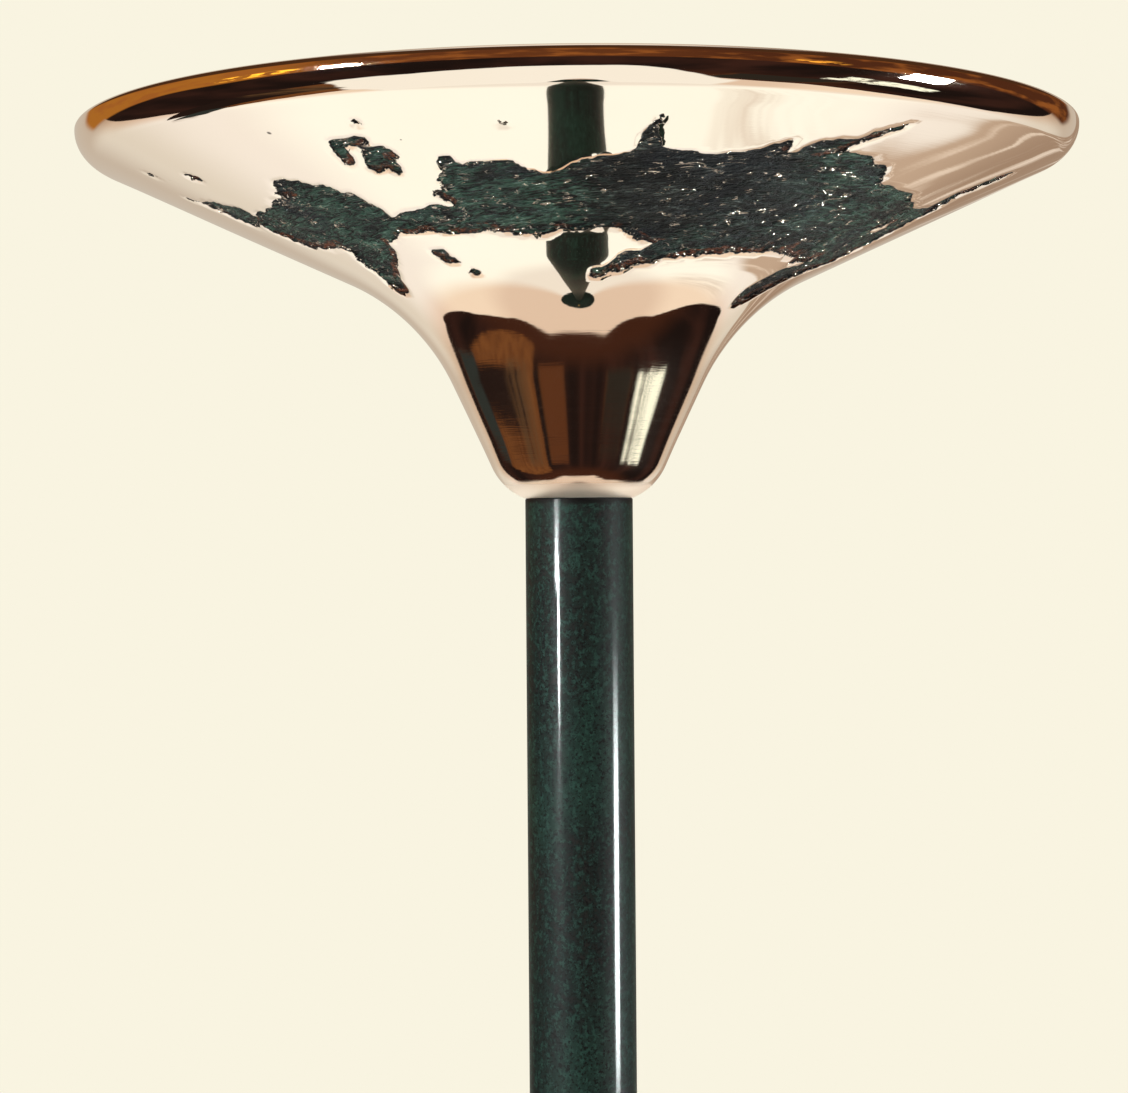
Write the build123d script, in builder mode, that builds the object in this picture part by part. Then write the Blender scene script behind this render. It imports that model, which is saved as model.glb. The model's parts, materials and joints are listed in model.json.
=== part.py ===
from build123d import *
from math import radians, tan
import os

# Torchiere floor lamp: a wide cast bronze bowl on a tall round stem, with a low round base.
# The origin lies on the floor under the stem's axis, +Z is up and the front faces -Y.

os.makedirs("parts", exist_ok=True)

# ------------------------------------------------------------------ driving dimensions, mm
overall_height = 1800.0
bowl_diameter = 385.0
bowl_height = 141.0
stem_diameter = 42.0
base_diameter = 330.0

# clearances, each on a radius or between two faces
fit_clearance = 0.05        # a register or a thread in its mate
slide_clearance = 0.08      # a pin that slides in its bore
hole_clearance = 0.3        # a screw through a plain hole
loose_clearance = 0.8       # a part that only passes another

# bowl: a cup that grows out of the stem, a throat, a long flare and an upturned brim
bowl_wall = 4.0
cup_floor_run = 9.1         # from the stem's surface out to the cup's corner
cup_floor_rise = 3.7
throat_run = 41.2           # from the stem's surface out to the throat's corner
throat_rise = 71.9
brim_drop = 9.6             # from the rim down to the brim's corner
cup_round = 24.0
throat_round = 84.0
brim_round = 13.0
rim_round = 1.6
cup_floor = 8.0             # thickness of metal under the fixings

# stem and the rod that holds the lamp together
stem_wall = 2.5
collar_height = 4.0
collar_groove = 0.5
register_radius = 14.0
register_height = 3.0
spigot_height = 28.0
rod_radius = 5.0
rod_bore_radius = 3.75
rod_end = 6.0               # bare rod past the upper nut
rod_foot_end = 0.5          # bare rod past the lower nut
nut_flats = 17.0
nut_height = 6.0
lead_radius = 3.0
cord_arc_share = 0.45       # of a cord's shorter run beside a corner

# base
foot_height = 3.0
foot_radius = 9.0
foot_neck_radius = 3.0
foot_barb_radius = 3.9
foot_barb_height = 2.5
foot_circle = 145.0         # radius of the circle that the feet stand on
base_wall = 6.0
base_edge = 15.0
base_slope = 17.0           # how much the top climbs from the edge to the hub
hub_radius = 25.0
hub_rise = 9.0              # the hub's height above the slope
hub_web = 10.0              # metal between the stem and the lower washer
hub_recess_radius = 16.0
edge_round = 6.0
hub_round = 8.0
plate_thickness = 2.0
plate_ledge = 2.0           # width of the ledge that the plate bears on
boss_radius = 5.0
boss_inset = 15.0           # boss circle, in from the base's edge
ballast_inner = 40.0
ballast_inset = 29.0        # ballast's edge, in from the base's edge
ballast_gap = 1.0
ballast_slot_margin = 3.0   # beside the terminal block
switch_channel = (24.0, 9.0)  # width and height under the ballast

# screws: shank radius, head radius, head height
plate_screw = (2.0, 3.6, 1.8)
block_screw_size = (1.5, 2.8, 1.6)
screw_tip_gap = 0.5         # left between a screw's tip and the end of its hole

# foot switch
switch_circle = 105.0       # from the stem's axis to the button
switch_body_radius = 12.0
switch_neck_radius = 8.0
switch_pad_radius = 17.0
switch_pad_rise = 2.0       # above the slope's highest point beside it
switch_pad_web = 6.0        # metal that the switch clamps
pad_bevel = 1.0
switch_floor = 1.6
switch_nut_height = 3.0
switch_nut_radius = 11.5
button_travel = 4.0
button_radius = 11.0
button_cap_height = 5.0
button_stem_radius = 4.5
button_flange_radius = 5.6
button_flange_height = 2.0
button_gap = 0.3            # between faces that meet at the ends of the travel
switch_cavity_radius = 6.1
switch_cavity_depth = 10.5
switch_wire = 0.35          # radius of the spring's wire
switch_spring_inset = 0.5   # from the button's stem in to the spring's mean radius

# cord inlet in the rear edge
inlet_bore_radius = 3.6
inlet_sleeve_radius = 4.5
inlet_flange_radius = 5.3
inlet_flange_height = 2.0
inlet_height = 10.3
inlet_spot_depth = 1.5
inlet_sleeve_length = 10.0  # from the base's edge to the sleeve's inner end

# wiring in the base
base_block = (30.0, 16.0, 11.0)
base_block_circle = 112.0
block_screw_cover = 3.0     # plastic left above the block's screw hole
switch_lead_radius = 2.5
core_radius = 1.2
tag_thickness = 0.8
tag_tab_width = 5.0
tag_tab_reach = 14.5

# fixings in the cup
post_plate_margin = 1.0     # past the stem's surface
post_plate_thickness = 2.5
post_spacing = 32.0
post_radius = 3.0
stud_radius = 2.0
washer_radius = 11.0
washer_thickness = 1.6
end_bush_wall = 1.5
end_bush_skirt = 4.0
end_bush_lip = 2.0

# lamp, its holders and its carrier
shield_radius = 58.0
shield_thickness = 1.2
shield_lip = 3.0
shield_height = 86.0        # above the neck
bracket_lift = 4.0          # clear height between the shield and the bracket
bracket_width = 20.0
bracket_thickness = 2.0
bracket_bend = 2.0
spacer_radius = 4.0
post_nut_flats = 7.0
post_nut_height = 3.2
lamp_length = 118.0
lamp_lift = 110.0           # the lamp's axis above the neck
tube_radius = 5.5
tube_wall = 1.0
tube_half_length = 42.0
pinch_radius = 3.0
pinch_length = 5.0
cap_radius = 3.6
cap_length = 15.0
cap_recess_radius = 2.0
cap_recess_depth = 2.0
filament_radius = 0.9
filament_half_length = 34.0
filament_tail_radius = 0.35
holder_height = 26.0
holder_depth = 22.0
holder_overlap = 3.0        # how far the lamp's fixed end sits in its holder
socket_radius = 4.4
lamp_shift = 3.5            # travel against the sprung contact
socket_reserve = 2.0        # depth left past the lamp's end when it is shifted
contact_radius = 1.4
contact_collar_radius = 2.5
contact_collar_width = 1.2
contact_reserve = 1.5       # how far the plunger could still come out
spring_chamber_radius = 3.0
socket_web = 2.0
terminal_radius = 4.0
terminal_thickness = 1.0
terminal_recess = 2.0
contact_wire = 0.25
holder_screw = (1.5, 2.8, 1.8)
holder_screw_spacing = 12.0
holder_screw_drop = 9.0
holder_screw_grip = 6.0
block_size = (18.0, 20.0, 10.0)
pole_spacing = 12.0
wire_clearance = 1.5        # between a wire and the bowl

# ------------------------------------------------------------------ derived places
bowl_radius = bowl_diameter / 2
stem_radius = stem_diameter / 2
stem_bore = stem_radius - stem_wall
spigot_radius = stem_bore - fit_clearance
base_radius = base_diameter / 2
neck_z = overall_height - bowl_height
collar_z = neck_z - collar_height
cup_z = neck_z + cup_floor
plate_z = foot_height + plate_thickness
edge_z = foot_height + base_edge
shoulder_z = edge_z + base_slope
hub_z = shoulder_z + hub_rise
hub_seat_z = hub_z - hub_web
thread_bore = rod_radius + fit_clearance


def base_top(radius):
    """Height of the base's sloping top at a radius."""
    return edge_z + base_slope * (base_radius - radius) / (base_radius - hub_radius)


def base_ceiling(radius):
    """Height of the underside of the base's sloping top."""
    return base_top(radius) - base_wall


def save(piece, name):
    """Label a finished piece and write it as a node of its own."""
    piece.part.label = name
    export_step(piece.part, f"parts/{name}.step")


def tube(height, outer, inner, z):
    """A plain ring or tube about the lamp's axis, standing on height z."""
    with BuildPart() as ring:
        with BuildSketch(Plane.XY.offset(z)):
            Circle(outer)
            Circle(inner, mode=Mode.SUBTRACT)
        extrude(amount=height)
    return ring


def hex_nut(flats, height, bore, z, places=((0, 0),)):
    """Hexagon nuts with chamfered corners, standing on height z."""
    with BuildPart() as nut:
        with BuildSketch(Plane.XY.offset(z)):
            with Locations(*places):
                RegularPolygon(flats / 2, 6, major_radius=False)
        extrude(amount=height)
        chamfer(nut.edges().filter_by(Plane.XY), length=0.06 * flats, length2=0.03 * flats)
        with BuildSketch(Plane.XY.offset(z)):
            with Locations(*places):
                Circle(bore)
        extrude(amount=height, mode=Mode.SUBTRACT)
    return nut


def arc_limits(points, share):
    """The largest arc at each corner that takes only a share of its shorter run."""
    spots = [Vector(*point) for point in points]
    limits = []
    for before, corner, after in zip(spots, spots[1:], spots[2:]):
        turn = (corner - before).get_angle(after - corner)
        shorter = min((corner - before).length, (after - corner).length)
        limits.append(share * shorter / tan(radians(turn) / 2))
    return limits


def cord(points, radius, cap=1e9):
    """A round cord along straight runs joined by tangent arcs."""
    radii = [min(limit, cap) for limit in arc_limits(points, cord_arc_share)]
    print("cord radii", [round(value, 1) for value in radii])
    with BuildPart() as length:
        with BuildLine():
            path = FilletPolyline(*points, radius=radii)
        with BuildSketch(Plane(origin=path @ 0, z_dir=path % 0)):
            Circle(radius)
        sweep()
    return length


# ------------------------------------------------------------------ bowl
bowl_points = [
    (stem_radius, neck_z),
    (stem_radius + cup_floor_run, neck_z + cup_floor_rise),
    (stem_radius + throat_run, neck_z + throat_rise),
    (bowl_radius, overall_height - brim_drop),
    (bowl_radius, overall_height),
]
bowl_rounds = [
    min(limit, wanted)
    for limit, wanted in zip(arc_limits(bowl_points, 0.97), (cup_round, throat_round, brim_round))
]

# The hollow runs parallel to the outside, down to the flat floor of the cup.
with BuildSketch(Plane.XZ) as bowl_hollow:
    with BuildLine():
        outside = FilletPolyline(*bowl_points, radius=bowl_rounds, mode=Mode.PRIVATE)
        inside = offset(outside, amount=bowl_wall, side=Side.LEFT, closed=False)
        Polyline(inside @ 0, (0, overall_height), (0, neck_z), inside @ 1)
    make_face()
    with Locations((0, neck_z)):
        Rectangle(4 * stem_diameter, 2 * cup_floor, mode=Mode.SUBTRACT)

with BuildPart() as bowl:
    with BuildSketch(Plane.XZ):
        with BuildLine():
            FilletPolyline(*bowl_points, radius=bowl_rounds)
            Polyline(bowl_points[-1], (0, overall_height), (0, neck_z), bowl_points[0])
        make_face()
        add(bowl_hollow.sketch, mode=Mode.SUBTRACT)
    revolve(axis=Axis.Z)
    fillet(bowl.edges().group_by(Axis.Z)[-1], rim_round)
    with Locations((0, 0, neck_z)):
        Cylinder(
            register_radius + fit_clearance,
            2 * register_height,
            mode=Mode.SUBTRACT,
        )
        Cylinder(thread_bore, 4 * cup_floor, mode=Mode.SUBTRACT)
save(bowl, "bowl")

# ------------------------------------------------------------------ stem
stem_tube = tube(collar_z - hub_z, stem_radius, stem_bore, hub_z)
save(stem_tube, "stem_tube")

# The collar closes the tube: a flange under the bowl, a spigot below and a register above.
with BuildPart() as stem_collar:
    with BuildSketch(Plane.XY.offset(collar_z)):
        Circle(stem_radius)
    extrude(amount=collar_height)
    chamfer(stem_collar.edges().group_by(Axis.Z)[-1], collar_groove)
    with BuildSketch(Plane.XY.offset(collar_z)):
        Circle(spigot_radius)
    extrude(amount=-spigot_height)
    with BuildSketch(Plane.XY.offset(neck_z)):
        Circle(register_radius)
    extrude(amount=register_height)
    with BuildSketch(Plane.XY.offset(collar_z - spigot_height)):
        Circle(thread_bore)
    extrude(amount=spigot_height + collar_height + register_height, mode=Mode.SUBTRACT)
save(stem_collar, "stem_collar")

# The rod passes the base and the bowl, and a nut at each end draws them onto the stem.
foot_washer_z = hub_seat_z - washer_thickness
tag_z = foot_washer_z - tag_thickness
foot_nut_z = tag_z - nut_height
rod_foot_z = foot_nut_z - rod_foot_end
post_plate_z = cup_z
head_washer_z = post_plate_z + post_plate_thickness
head_nut_z = head_washer_z + washer_thickness
rod_head_z = head_nut_z + nut_height + rod_end

tie_rod = tube(rod_head_z - rod_foot_z, rod_radius, rod_bore_radius, rod_foot_z)
save(tie_rod, "tie_rod")

foot_washer = tube(washer_thickness, washer_radius, thread_bore, foot_washer_z)
save(foot_washer, "foot_washer")
foot_nut = hex_nut(nut_flats, nut_height, thread_bore, foot_nut_z)
save(foot_nut, "foot_nut")
head_washer = tube(washer_thickness, washer_radius, thread_bore, head_washer_z)
save(head_washer, "head_washer")
head_nut = hex_nut(nut_flats, nut_height, thread_bore, head_nut_z)
save(head_nut, "head_nut")

# ------------------------------------------------------------------ base casting
boss_circle = base_radius - boss_inset
inner_radius = base_radius - base_wall
plate_radius = inner_radius + plate_ledge - hole_clearance
pad_top = base_top(switch_circle - switch_pad_radius) + switch_pad_rise
pad_seat = pad_top - switch_pad_web
boss_places = list(PolarLocations(boss_circle, 6))
foot_places = list(PolarLocations(foot_circle, 4, start_angle=45))

with BuildSketch(Plane.XZ) as base_hollow:
    with BuildLine():
        Polyline(
            (0, foot_height),
            (inner_radius, foot_height),
            (inner_radius, base_ceiling(inner_radius)),
            (hub_recess_radius, base_ceiling(hub_recess_radius)),
            (hub_recess_radius, hub_seat_z),
            (0, hub_seat_z),
            close=True,
        )
    make_face()

with BuildPart() as base_casting:
    with BuildSketch(Plane.XZ):
        with BuildLine():
            FilletPolyline(
                (0, foot_height),
                (base_radius, foot_height),
                (base_radius, edge_z),
                (hub_radius, shoulder_z),
                (hub_radius, hub_z),
                (0, hub_z),
                radius=(1.5, edge_round, hub_round, 1.0),
            )
            Line((0, hub_z), (0, foot_height))
        make_face()
        add(base_hollow.sketch, mode=Mode.SUBTRACT)
    revolve(axis=Axis.Z)
    # bosses for the plate's screws
    for place in boss_places:
        with BuildSketch(Plane.XY.offset(plate_z)):
            with Locations(place):
                Circle(boss_radius)
        extrude(amount=base_top(boss_circle) - base_wall / 2 - plate_z)
    # round pad for the foot switch, with a bevelled rim
    pad_foot = base_ceiling(switch_circle + switch_pad_radius)
    with BuildSketch(Plane.XY.offset(pad_foot)):
        with Locations((0, -switch_circle)):
            Circle(switch_pad_radius)
    extrude(amount=pad_top - pad_bevel - pad_foot)
    with BuildSketch(Plane.XY.offset(pad_top - pad_bevel)):
        with Locations((0, -switch_circle)):
            Circle(switch_pad_radius)
    extrude(amount=pad_bevel, taper=45)
    # spigot in the stem
    with BuildSketch(Plane.XY.offset(hub_z)):
        Circle(spigot_radius)
    extrude(amount=spigot_height)
    # rebate that the plate lies in
    with BuildSketch(Plane.XY.offset(foot_height)):
        Circle(inner_radius + plate_ledge)
    extrude(amount=plate_thickness, mode=Mode.SUBTRACT)
    # holes: rod, plate screws, switch
    with BuildSketch(Plane.XY.offset(hub_seat_z)):
        Circle(thread_bore)
    extrude(amount=hub_web + spigot_height, mode=Mode.SUBTRACT)
    with BuildSketch(Plane.XY.offset(plate_z)):
        with Locations(*boss_places):
            Circle(plate_screw[0] + fit_clearance)
    extrude(amount=base_ceiling(boss_circle) - plate_z, mode=Mode.SUBTRACT)
    with BuildSketch(Plane.XY.offset(plate_z)):
        with Locations((0, -switch_circle)):
            Circle(switch_body_radius + hole_clearance)
    extrude(amount=pad_seat - plate_z, mode=Mode.SUBTRACT)
    with BuildSketch(Plane.XY.offset(pad_seat)):
        with Locations((0, -switch_circle)):
            Circle(switch_neck_radius + hole_clearance)
    extrude(amount=switch_pad_web, mode=Mode.SUBTRACT)
    # cord inlet: a spot face and a hole in the rear edge
    rear_edge = Plane(origin=(0, base_radius, inlet_height), x_dir=(1, 0, 0), z_dir=(0, 1, 0))
    with BuildSketch(rear_edge.offset(-inlet_spot_depth)):
        Circle(inlet_flange_radius + hole_clearance)
    extrude(amount=2 * inlet_spot_depth, mode=Mode.SUBTRACT)
    with BuildSketch(rear_edge.offset(-2 * base_wall)):
        Circle(inlet_sleeve_radius + fit_clearance)
    extrude(amount=3 * base_wall, mode=Mode.SUBTRACT)
save(base_casting, "base_casting")

# ------------------------------------------------------------------ base plate, feet, ballast
with BuildPart() as base_plate:
    with BuildSketch(Plane.XY.offset(foot_height)):
        Circle(plate_radius)
        with Locations(*boss_places):
            Circle(plate_screw[0] + hole_clearance, mode=Mode.SUBTRACT)
        with Locations(*foot_places):
            Circle(foot_neck_radius + fit_clearance, mode=Mode.SUBTRACT)
        with Locations((0, base_block_circle)):
            Circle(block_screw_size[0] + hole_clearance, mode=Mode.SUBTRACT)
    extrude(amount=plate_thickness)
save(base_plate, "base_plate")


def pan_screws(places, size, grip, head_face, upward=1):
    """Pan head screws along Z: head outside head_face, shank into the work."""
    shank, head, head_height = size
    with BuildPart() as screws:
        with BuildSketch(Plane.XY.offset(head_face)):
            with Locations(*places):
                Circle(head)
        extrude(amount=-upward * head_height, taper=12)
        with BuildSketch(Plane.XY.offset(head_face)):
            with Locations(*places):
                Circle(shank)
        extrude(amount=upward * grip)
    return screws


boss_hole = base_ceiling(boss_circle) - plate_z
plate_screw_grip = plate_thickness + boss_hole - screw_tip_gap
plate_screws = pan_screws(boss_places, plate_screw, plate_screw_grip, foot_height)
save(plate_screws, "plate_screws")

with BuildPart() as rubber_feet:
    with BuildSketch(Plane.XY):
        with Locations(*foot_places):
            Circle(foot_radius)
    extrude(amount=foot_height)
    fillet(rubber_feet.edges().group_by(Axis.Z)[0], 0.8)
    with BuildSketch(Plane.XY.offset(foot_height)):
        with Locations(*foot_places):
            Circle(foot_neck_radius)
    extrude(amount=plate_thickness)
    with BuildSketch(Plane.XY.offset(plate_z)):
        with Locations(*foot_places):
            Circle(foot_barb_radius)
    extrude(amount=foot_barb_height, taper=15)
save(rubber_feet, "rubber_feet")

ballast_outer = base_radius - ballast_inset
slot_width = base_block[0] + 2 * ballast_slot_margin
channel_width, channel_height = switch_channel
with BuildPart() as ballast_disc:
    with BuildSketch(Plane.XZ):
        with BuildLine():
            Polyline(
                (ballast_inner, plate_z),
                (ballast_outer, plate_z),
                (ballast_outer, base_ceiling(ballast_outer) - ballast_gap),
                (ballast_inner, base_ceiling(ballast_inner) - ballast_gap),
                close=True,
            )
        make_face()
    revolve(axis=Axis.Z)
    # room for the switch, for its lead and for the block and leads at the rear
    with BuildSketch(Plane.XY.offset(plate_z)):
        with Locations((0, -switch_circle)):
            Circle(switch_pad_radius + ballast_gap)
        with Locations((0, base_radius / 2)):
            Rectangle(slot_width, base_radius)
    extrude(amount=2 * base_edge, mode=Mode.SUBTRACT)
    with BuildSketch(Plane.XY.offset(plate_z)):
        with Locations((0, -switch_circle / 2)):
            Rectangle(channel_width, switch_circle)
    extrude(amount=channel_height, mode=Mode.SUBTRACT)
save(ballast_disc, "ballast_disc")

# ------------------------------------------------------------------ cord inlet
with BuildPart() as cord_inlet_bush:
    flange_face = -inlet_spot_depth
    with BuildSketch(rear_edge.offset(flange_face)):
        Circle(inlet_flange_radius)
    extrude(amount=inlet_flange_height)
    fillet(cord_inlet_bush.edges().group_by(Axis.Y)[-1], 0.8)
    with BuildSketch(rear_edge.offset(flange_face)):
        Circle(inlet_sleeve_radius)
    extrude(amount=inlet_spot_depth - inlet_sleeve_length)
    with BuildSketch(rear_edge.offset(-2 * base_wall)):
        Circle(inlet_bore_radius)
    extrude(amount=3 * base_wall, mode=Mode.SUBTRACT)
save(cord_inlet_bush, "cord_inlet_bush")

# ------------------------------------------------------------------ foot switch
switch_nut_z = pad_top
switch_neck_top = pad_top + switch_nut_height + 0.5
switch_body_z = pad_seat - switch_cavity_depth - switch_floor - 2.0
cavity_top = switch_body_z + switch_floor + switch_cavity_depth
flange_top = cavity_top - button_gap
flange_z = flange_top - button_flange_height
cap_z = switch_neck_top + button_travel + button_gap

with BuildPart() as switch_body:
    with BuildSketch(Plane.XY.offset(switch_body_z)):
        with Locations((0, -switch_circle)):
            Circle(switch_body_radius)
    extrude(amount=pad_seat - switch_body_z)
    with BuildSketch(Plane.XY.offset(pad_seat)):
        with Locations((0, -switch_circle)):
            Circle(switch_neck_radius)
    extrude(amount=switch_neck_top - pad_seat)
    with BuildSketch(Plane.XY.offset(switch_body_z + switch_floor)):
        with Locations((0, -switch_circle)):
            Circle(switch_cavity_radius)
    extrude(amount=switch_cavity_depth, mode=Mode.SUBTRACT)
    with BuildSketch(Plane.XY.offset(cavity_top)):
        with Locations((0, -switch_circle)):
            Circle(button_stem_radius + slide_clearance)
    extrude(amount=switch_neck_top - cavity_top, mode=Mode.SUBTRACT)
save(switch_body, "switch_body")

with BuildPart() as switch_nut:
    with BuildSketch(Plane.XY.offset(switch_nut_z)):
        with Locations((0, -switch_circle)):
            Circle(switch_nut_radius)
    extrude(amount=switch_nut_height)
    chamfer(switch_nut.edges().group_by(Axis.Z)[-1], 0.6)
    with BuildSketch(Plane.XY.offset(switch_nut_z)):
        with Locations((0, -switch_circle)):
            Circle(switch_neck_radius + fit_clearance)
    extrude(amount=switch_nut_height, mode=Mode.SUBTRACT)
save(switch_nut, "switch_nut")

with BuildPart() as foot_button:
    with BuildSketch(Plane.XY.offset(cap_z)):
        with Locations((0, -switch_circle)):
            Circle(button_radius)
    extrude(amount=button_cap_height)
    fillet(foot_button.edges().group_by(Axis.Z)[-1], 0.6 * button_cap_height)
    with BuildSketch(Plane.XY.offset(flange_z)):
        with Locations((0, -switch_circle)):
            Circle(button_flange_radius)
    extrude(amount=button_flange_height)
    with BuildSketch(Plane.XY.offset(flange_top)):
        with Locations((0, -switch_circle)):
            Circle(button_stem_radius)
    extrude(amount=cap_z - flange_top)
save(foot_button, "foot_button")


def coil_spring(seat, direction, length, radius, wire, turns):
    """A compression spring that fills the length between two flat faces."""
    start = Vector(*seat) + Vector(*direction) * wire
    rise = length - 2 * wire
    with BuildPart() as spring:
        with BuildLine():
            coil = Helix(
                pitch=rise / turns,
                height=rise,
                radius=radius,
                center=start,
                direction=direction,
            )
        with BuildSketch(Plane(origin=coil @ 0, z_dir=coil % 0)):
            Circle(wire)
        sweep(path=coil, is_frenet=True)
    return spring


switch_spring = coil_spring(
    (0, -switch_circle, switch_body_z + switch_floor),
    (0, 0, 1),
    flange_z - switch_body_z - switch_floor,
    button_stem_radius - switch_spring_inset,
    switch_wire,
    4,
)
save(switch_spring, "switch_spring")

# ------------------------------------------------------------------ wiring in the base
block_width, block_depth, block_height = base_block
with BuildPart() as base_terminal_block:
    with Locations((0, base_block_circle, plate_z + block_height / 2)):
        Box(block_width, block_depth, block_height)
    fillet(base_terminal_block.edges().filter_by(Axis.Z), 1.0)
    with BuildSketch(Plane.XY.offset(plate_z + block_height)):
        with Locations((0, base_block_circle)):
            with GridLocations(block_width / 3, block_depth / 2, 3, 2):
                Circle(1.6)
    extrude(amount=-2.5, mode=Mode.SUBTRACT)
    with BuildSketch(Plane.XY.offset(plate_z)):
        with Locations((0, base_block_circle)):
            Circle(block_screw_size[0] + fit_clearance)
    extrude(amount=block_height - block_screw_cover, mode=Mode.SUBTRACT)
save(base_terminal_block, "base_terminal_block")

base_block_screw = pan_screws(
    [(0, base_block_circle)],
    block_screw_size,
    plate_thickness + block_height - block_screw_cover - screw_tip_gap,
    foot_height,
)
save(base_block_screw, "base_block_screw")

# The earth tag lies between washer and nut, and its tab reaches past the nut.
with BuildPart() as earth_tag:
    with BuildSketch(Plane.XY.offset(tag_z)):
        Circle(washer_radius - 1.0)
        with Locations((tag_tab_reach / 2, 0)):
            Rectangle(tag_tab_reach, tag_tab_width)
        Circle(thread_bore, mode=Mode.SUBTRACT)
    extrude(amount=tag_thickness)
save(earth_tag, "earth_tag")

block_front = base_block_circle - block_depth / 2
lead_z = plate_z + lead_radius + 1.2
core_end_x = tag_tab_reach - core_radius - 0.3
earth_lead = cord(
    [
        (core_end_x, 0, tag_z),
        (core_end_x, 0, tag_z - 11.0),
        (core_end_x + 0.5, 14.0, lead_z + 0.5),
        (core_end_x - 2.0, 62.0, lead_z + 1.0),
        (core_end_x - 2.0, block_front, lead_z + 1.0),
    ],
    core_radius,
)
save(earth_lead, "earth_lead")

switch_lead = cord(
    [
        (-8.0, block_front, lead_z + 0.5),
        (-8.0, 62.0, lead_z + 0.5),
        (-12.0, 8.0, lead_z - 0.5),
        (0, -50.0, lead_z - 0.5),
        (0, -switch_circle + switch_body_radius, lead_z - 0.5),
    ],
    switch_lead_radius,
)
save(switch_lead, "switch_lead")

shield_z = neck_z + shield_height
head_block_z = shield_z - block_size[2]
stem_lead = cord(
    [
        (3.0, block_front, lead_z + 0.5),
        (3.0, 58.0, lead_z + 0.5),
        (0, 0, lead_z),
        (0, 0, head_block_z),
    ],
    lead_radius,
    cap=rod_foot_z - lead_z - 1.0,
)
save(stem_lead, "stem_lead")

# ------------------------------------------------------------------ fixings in the cup
post_places = [(-post_spacing / 2, 0), (post_spacing / 2, 0)]
post_plate_radius = stem_radius + post_plate_margin
with BuildPart() as post_plate:
    with BuildSketch(Plane.XY.offset(post_plate_z)):
        Circle(post_plate_radius)
        Circle(thread_bore, mode=Mode.SUBTRACT)
        with Locations(*post_places):
            Circle(stud_radius + fit_clearance, mode=Mode.SUBTRACT)
    extrude(amount=post_plate_thickness)
save(post_plate, "post_plate")

# The bush lines the rod's sharp upper end where the lead leaves it.
with BuildPart() as rod_end_bush:
    with BuildSketch(Plane.XY.offset(rod_head_z - end_bush_skirt)):
        Circle(rod_radius + fit_clearance + end_bush_wall)
    extrude(amount=end_bush_skirt + end_bush_lip)
    fillet(rod_end_bush.edges().group_by(Axis.Z)[-1], 0.8)
    with BuildSketch(Plane.XY.offset(rod_head_z - end_bush_skirt)):
        Circle(rod_radius + fit_clearance)
    extrude(amount=end_bush_skirt, mode=Mode.SUBTRACT)
    with BuildSketch(Plane.XY.offset(rod_head_z)):
        Circle(lead_radius + hole_clearance)
    extrude(amount=end_bush_lip, mode=Mode.SUBTRACT)
save(rod_end_bush, "rod_end_bush")

# ------------------------------------------------------------------ shield and lamp bracket
bracket_z = shield_z + shield_thickness + bracket_lift
bracket_top_z = bracket_z + bracket_thickness
post_nut_z = bracket_top_z
stud_top_z = post_nut_z + post_nut_height + 0.8
lamp_z = neck_z + lamp_lift
holder_face = lamp_length / 2 - holder_overlap
holder_back = holder_face + holder_depth
bracket_reach = holder_back + bracket_thickness
holder_top_z = lamp_z + holder_height / 2
holder_screw_z = lamp_z - holder_screw_drop

with BuildPart() as support_posts:
    with BuildSketch(Plane.XY.offset(head_washer_z)):
        with Locations(*post_places):
            Circle(post_radius)
    extrude(amount=shield_z - head_washer_z)
    with BuildSketch(Plane.XY.offset(post_plate_z)):
        with Locations(*post_places):
            Circle(stud_radius)
    extrude(amount=stud_top_z - post_plate_z)
save(support_posts, "support_posts")

with BuildPart() as heat_shield:
    with BuildSketch(Plane.XY.offset(shield_z - shield_lip)):
        Circle(shield_radius)
        Circle(shield_radius - shield_thickness, mode=Mode.SUBTRACT)
    extrude(amount=shield_lip)
    with BuildSketch(Plane.XY.offset(shield_z)):
        Circle(shield_radius)
    extrude(amount=shield_thickness)
    fillet(heat_shield.edges().group_by(Axis.Z)[-1], 0.9 * shield_thickness)
    with BuildSketch(Plane.XY.offset(shield_z)):
        with Locations(*post_places):
            Circle(stud_radius + fit_clearance)
        Circle(block_screw_size[0] + hole_clearance)
    extrude(amount=shield_thickness, mode=Mode.SUBTRACT)
save(heat_shield, "heat_shield")

with BuildPart() as bracket_spacers:
    with BuildSketch(Plane.XY.offset(shield_z + shield_thickness)):
        with Locations(*post_places):
            Circle(spacer_radius)
            Circle(stud_radius + fit_clearance, mode=Mode.SUBTRACT)
    extrude(amount=bracket_lift)
save(bracket_spacers, "bracket_spacers")

# A flat strip bent up at both ends, where the holders stand against it.
with BuildPart() as lamp_bracket:
    with BuildSketch(Plane.XZ):
        with BuildLine():
            strip = FilletPolyline(
                (-bracket_reach, holder_top_z),
                (-bracket_reach, bracket_z),
                (bracket_reach, bracket_z),
                (bracket_reach, holder_top_z),
                radius=bracket_bend + bracket_thickness,
            )
            offset(strip, amount=bracket_thickness, side=Side.LEFT)
        make_face()
    extrude(amount=bracket_width / 2, both=True)
    with BuildSketch(Plane.XY.offset(bracket_z)):
        with Locations(*post_places):
            Circle(stud_radius + fit_clearance)
    extrude(amount=bracket_thickness, mode=Mode.SUBTRACT)
    with BuildSketch(Plane.YZ.offset(-2 * bracket_reach)):
        with Locations((0, lamp_z)):
            Circle(terminal_radius + loose_clearance)
        with Locations((0, holder_screw_z)):
            with GridLocations(holder_screw_spacing, 1, 2, 1):
                Circle(holder_screw[0] + hole_clearance)
    extrude(amount=4 * bracket_reach, mode=Mode.SUBTRACT)
save(lamp_bracket, "lamp_bracket")

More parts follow.
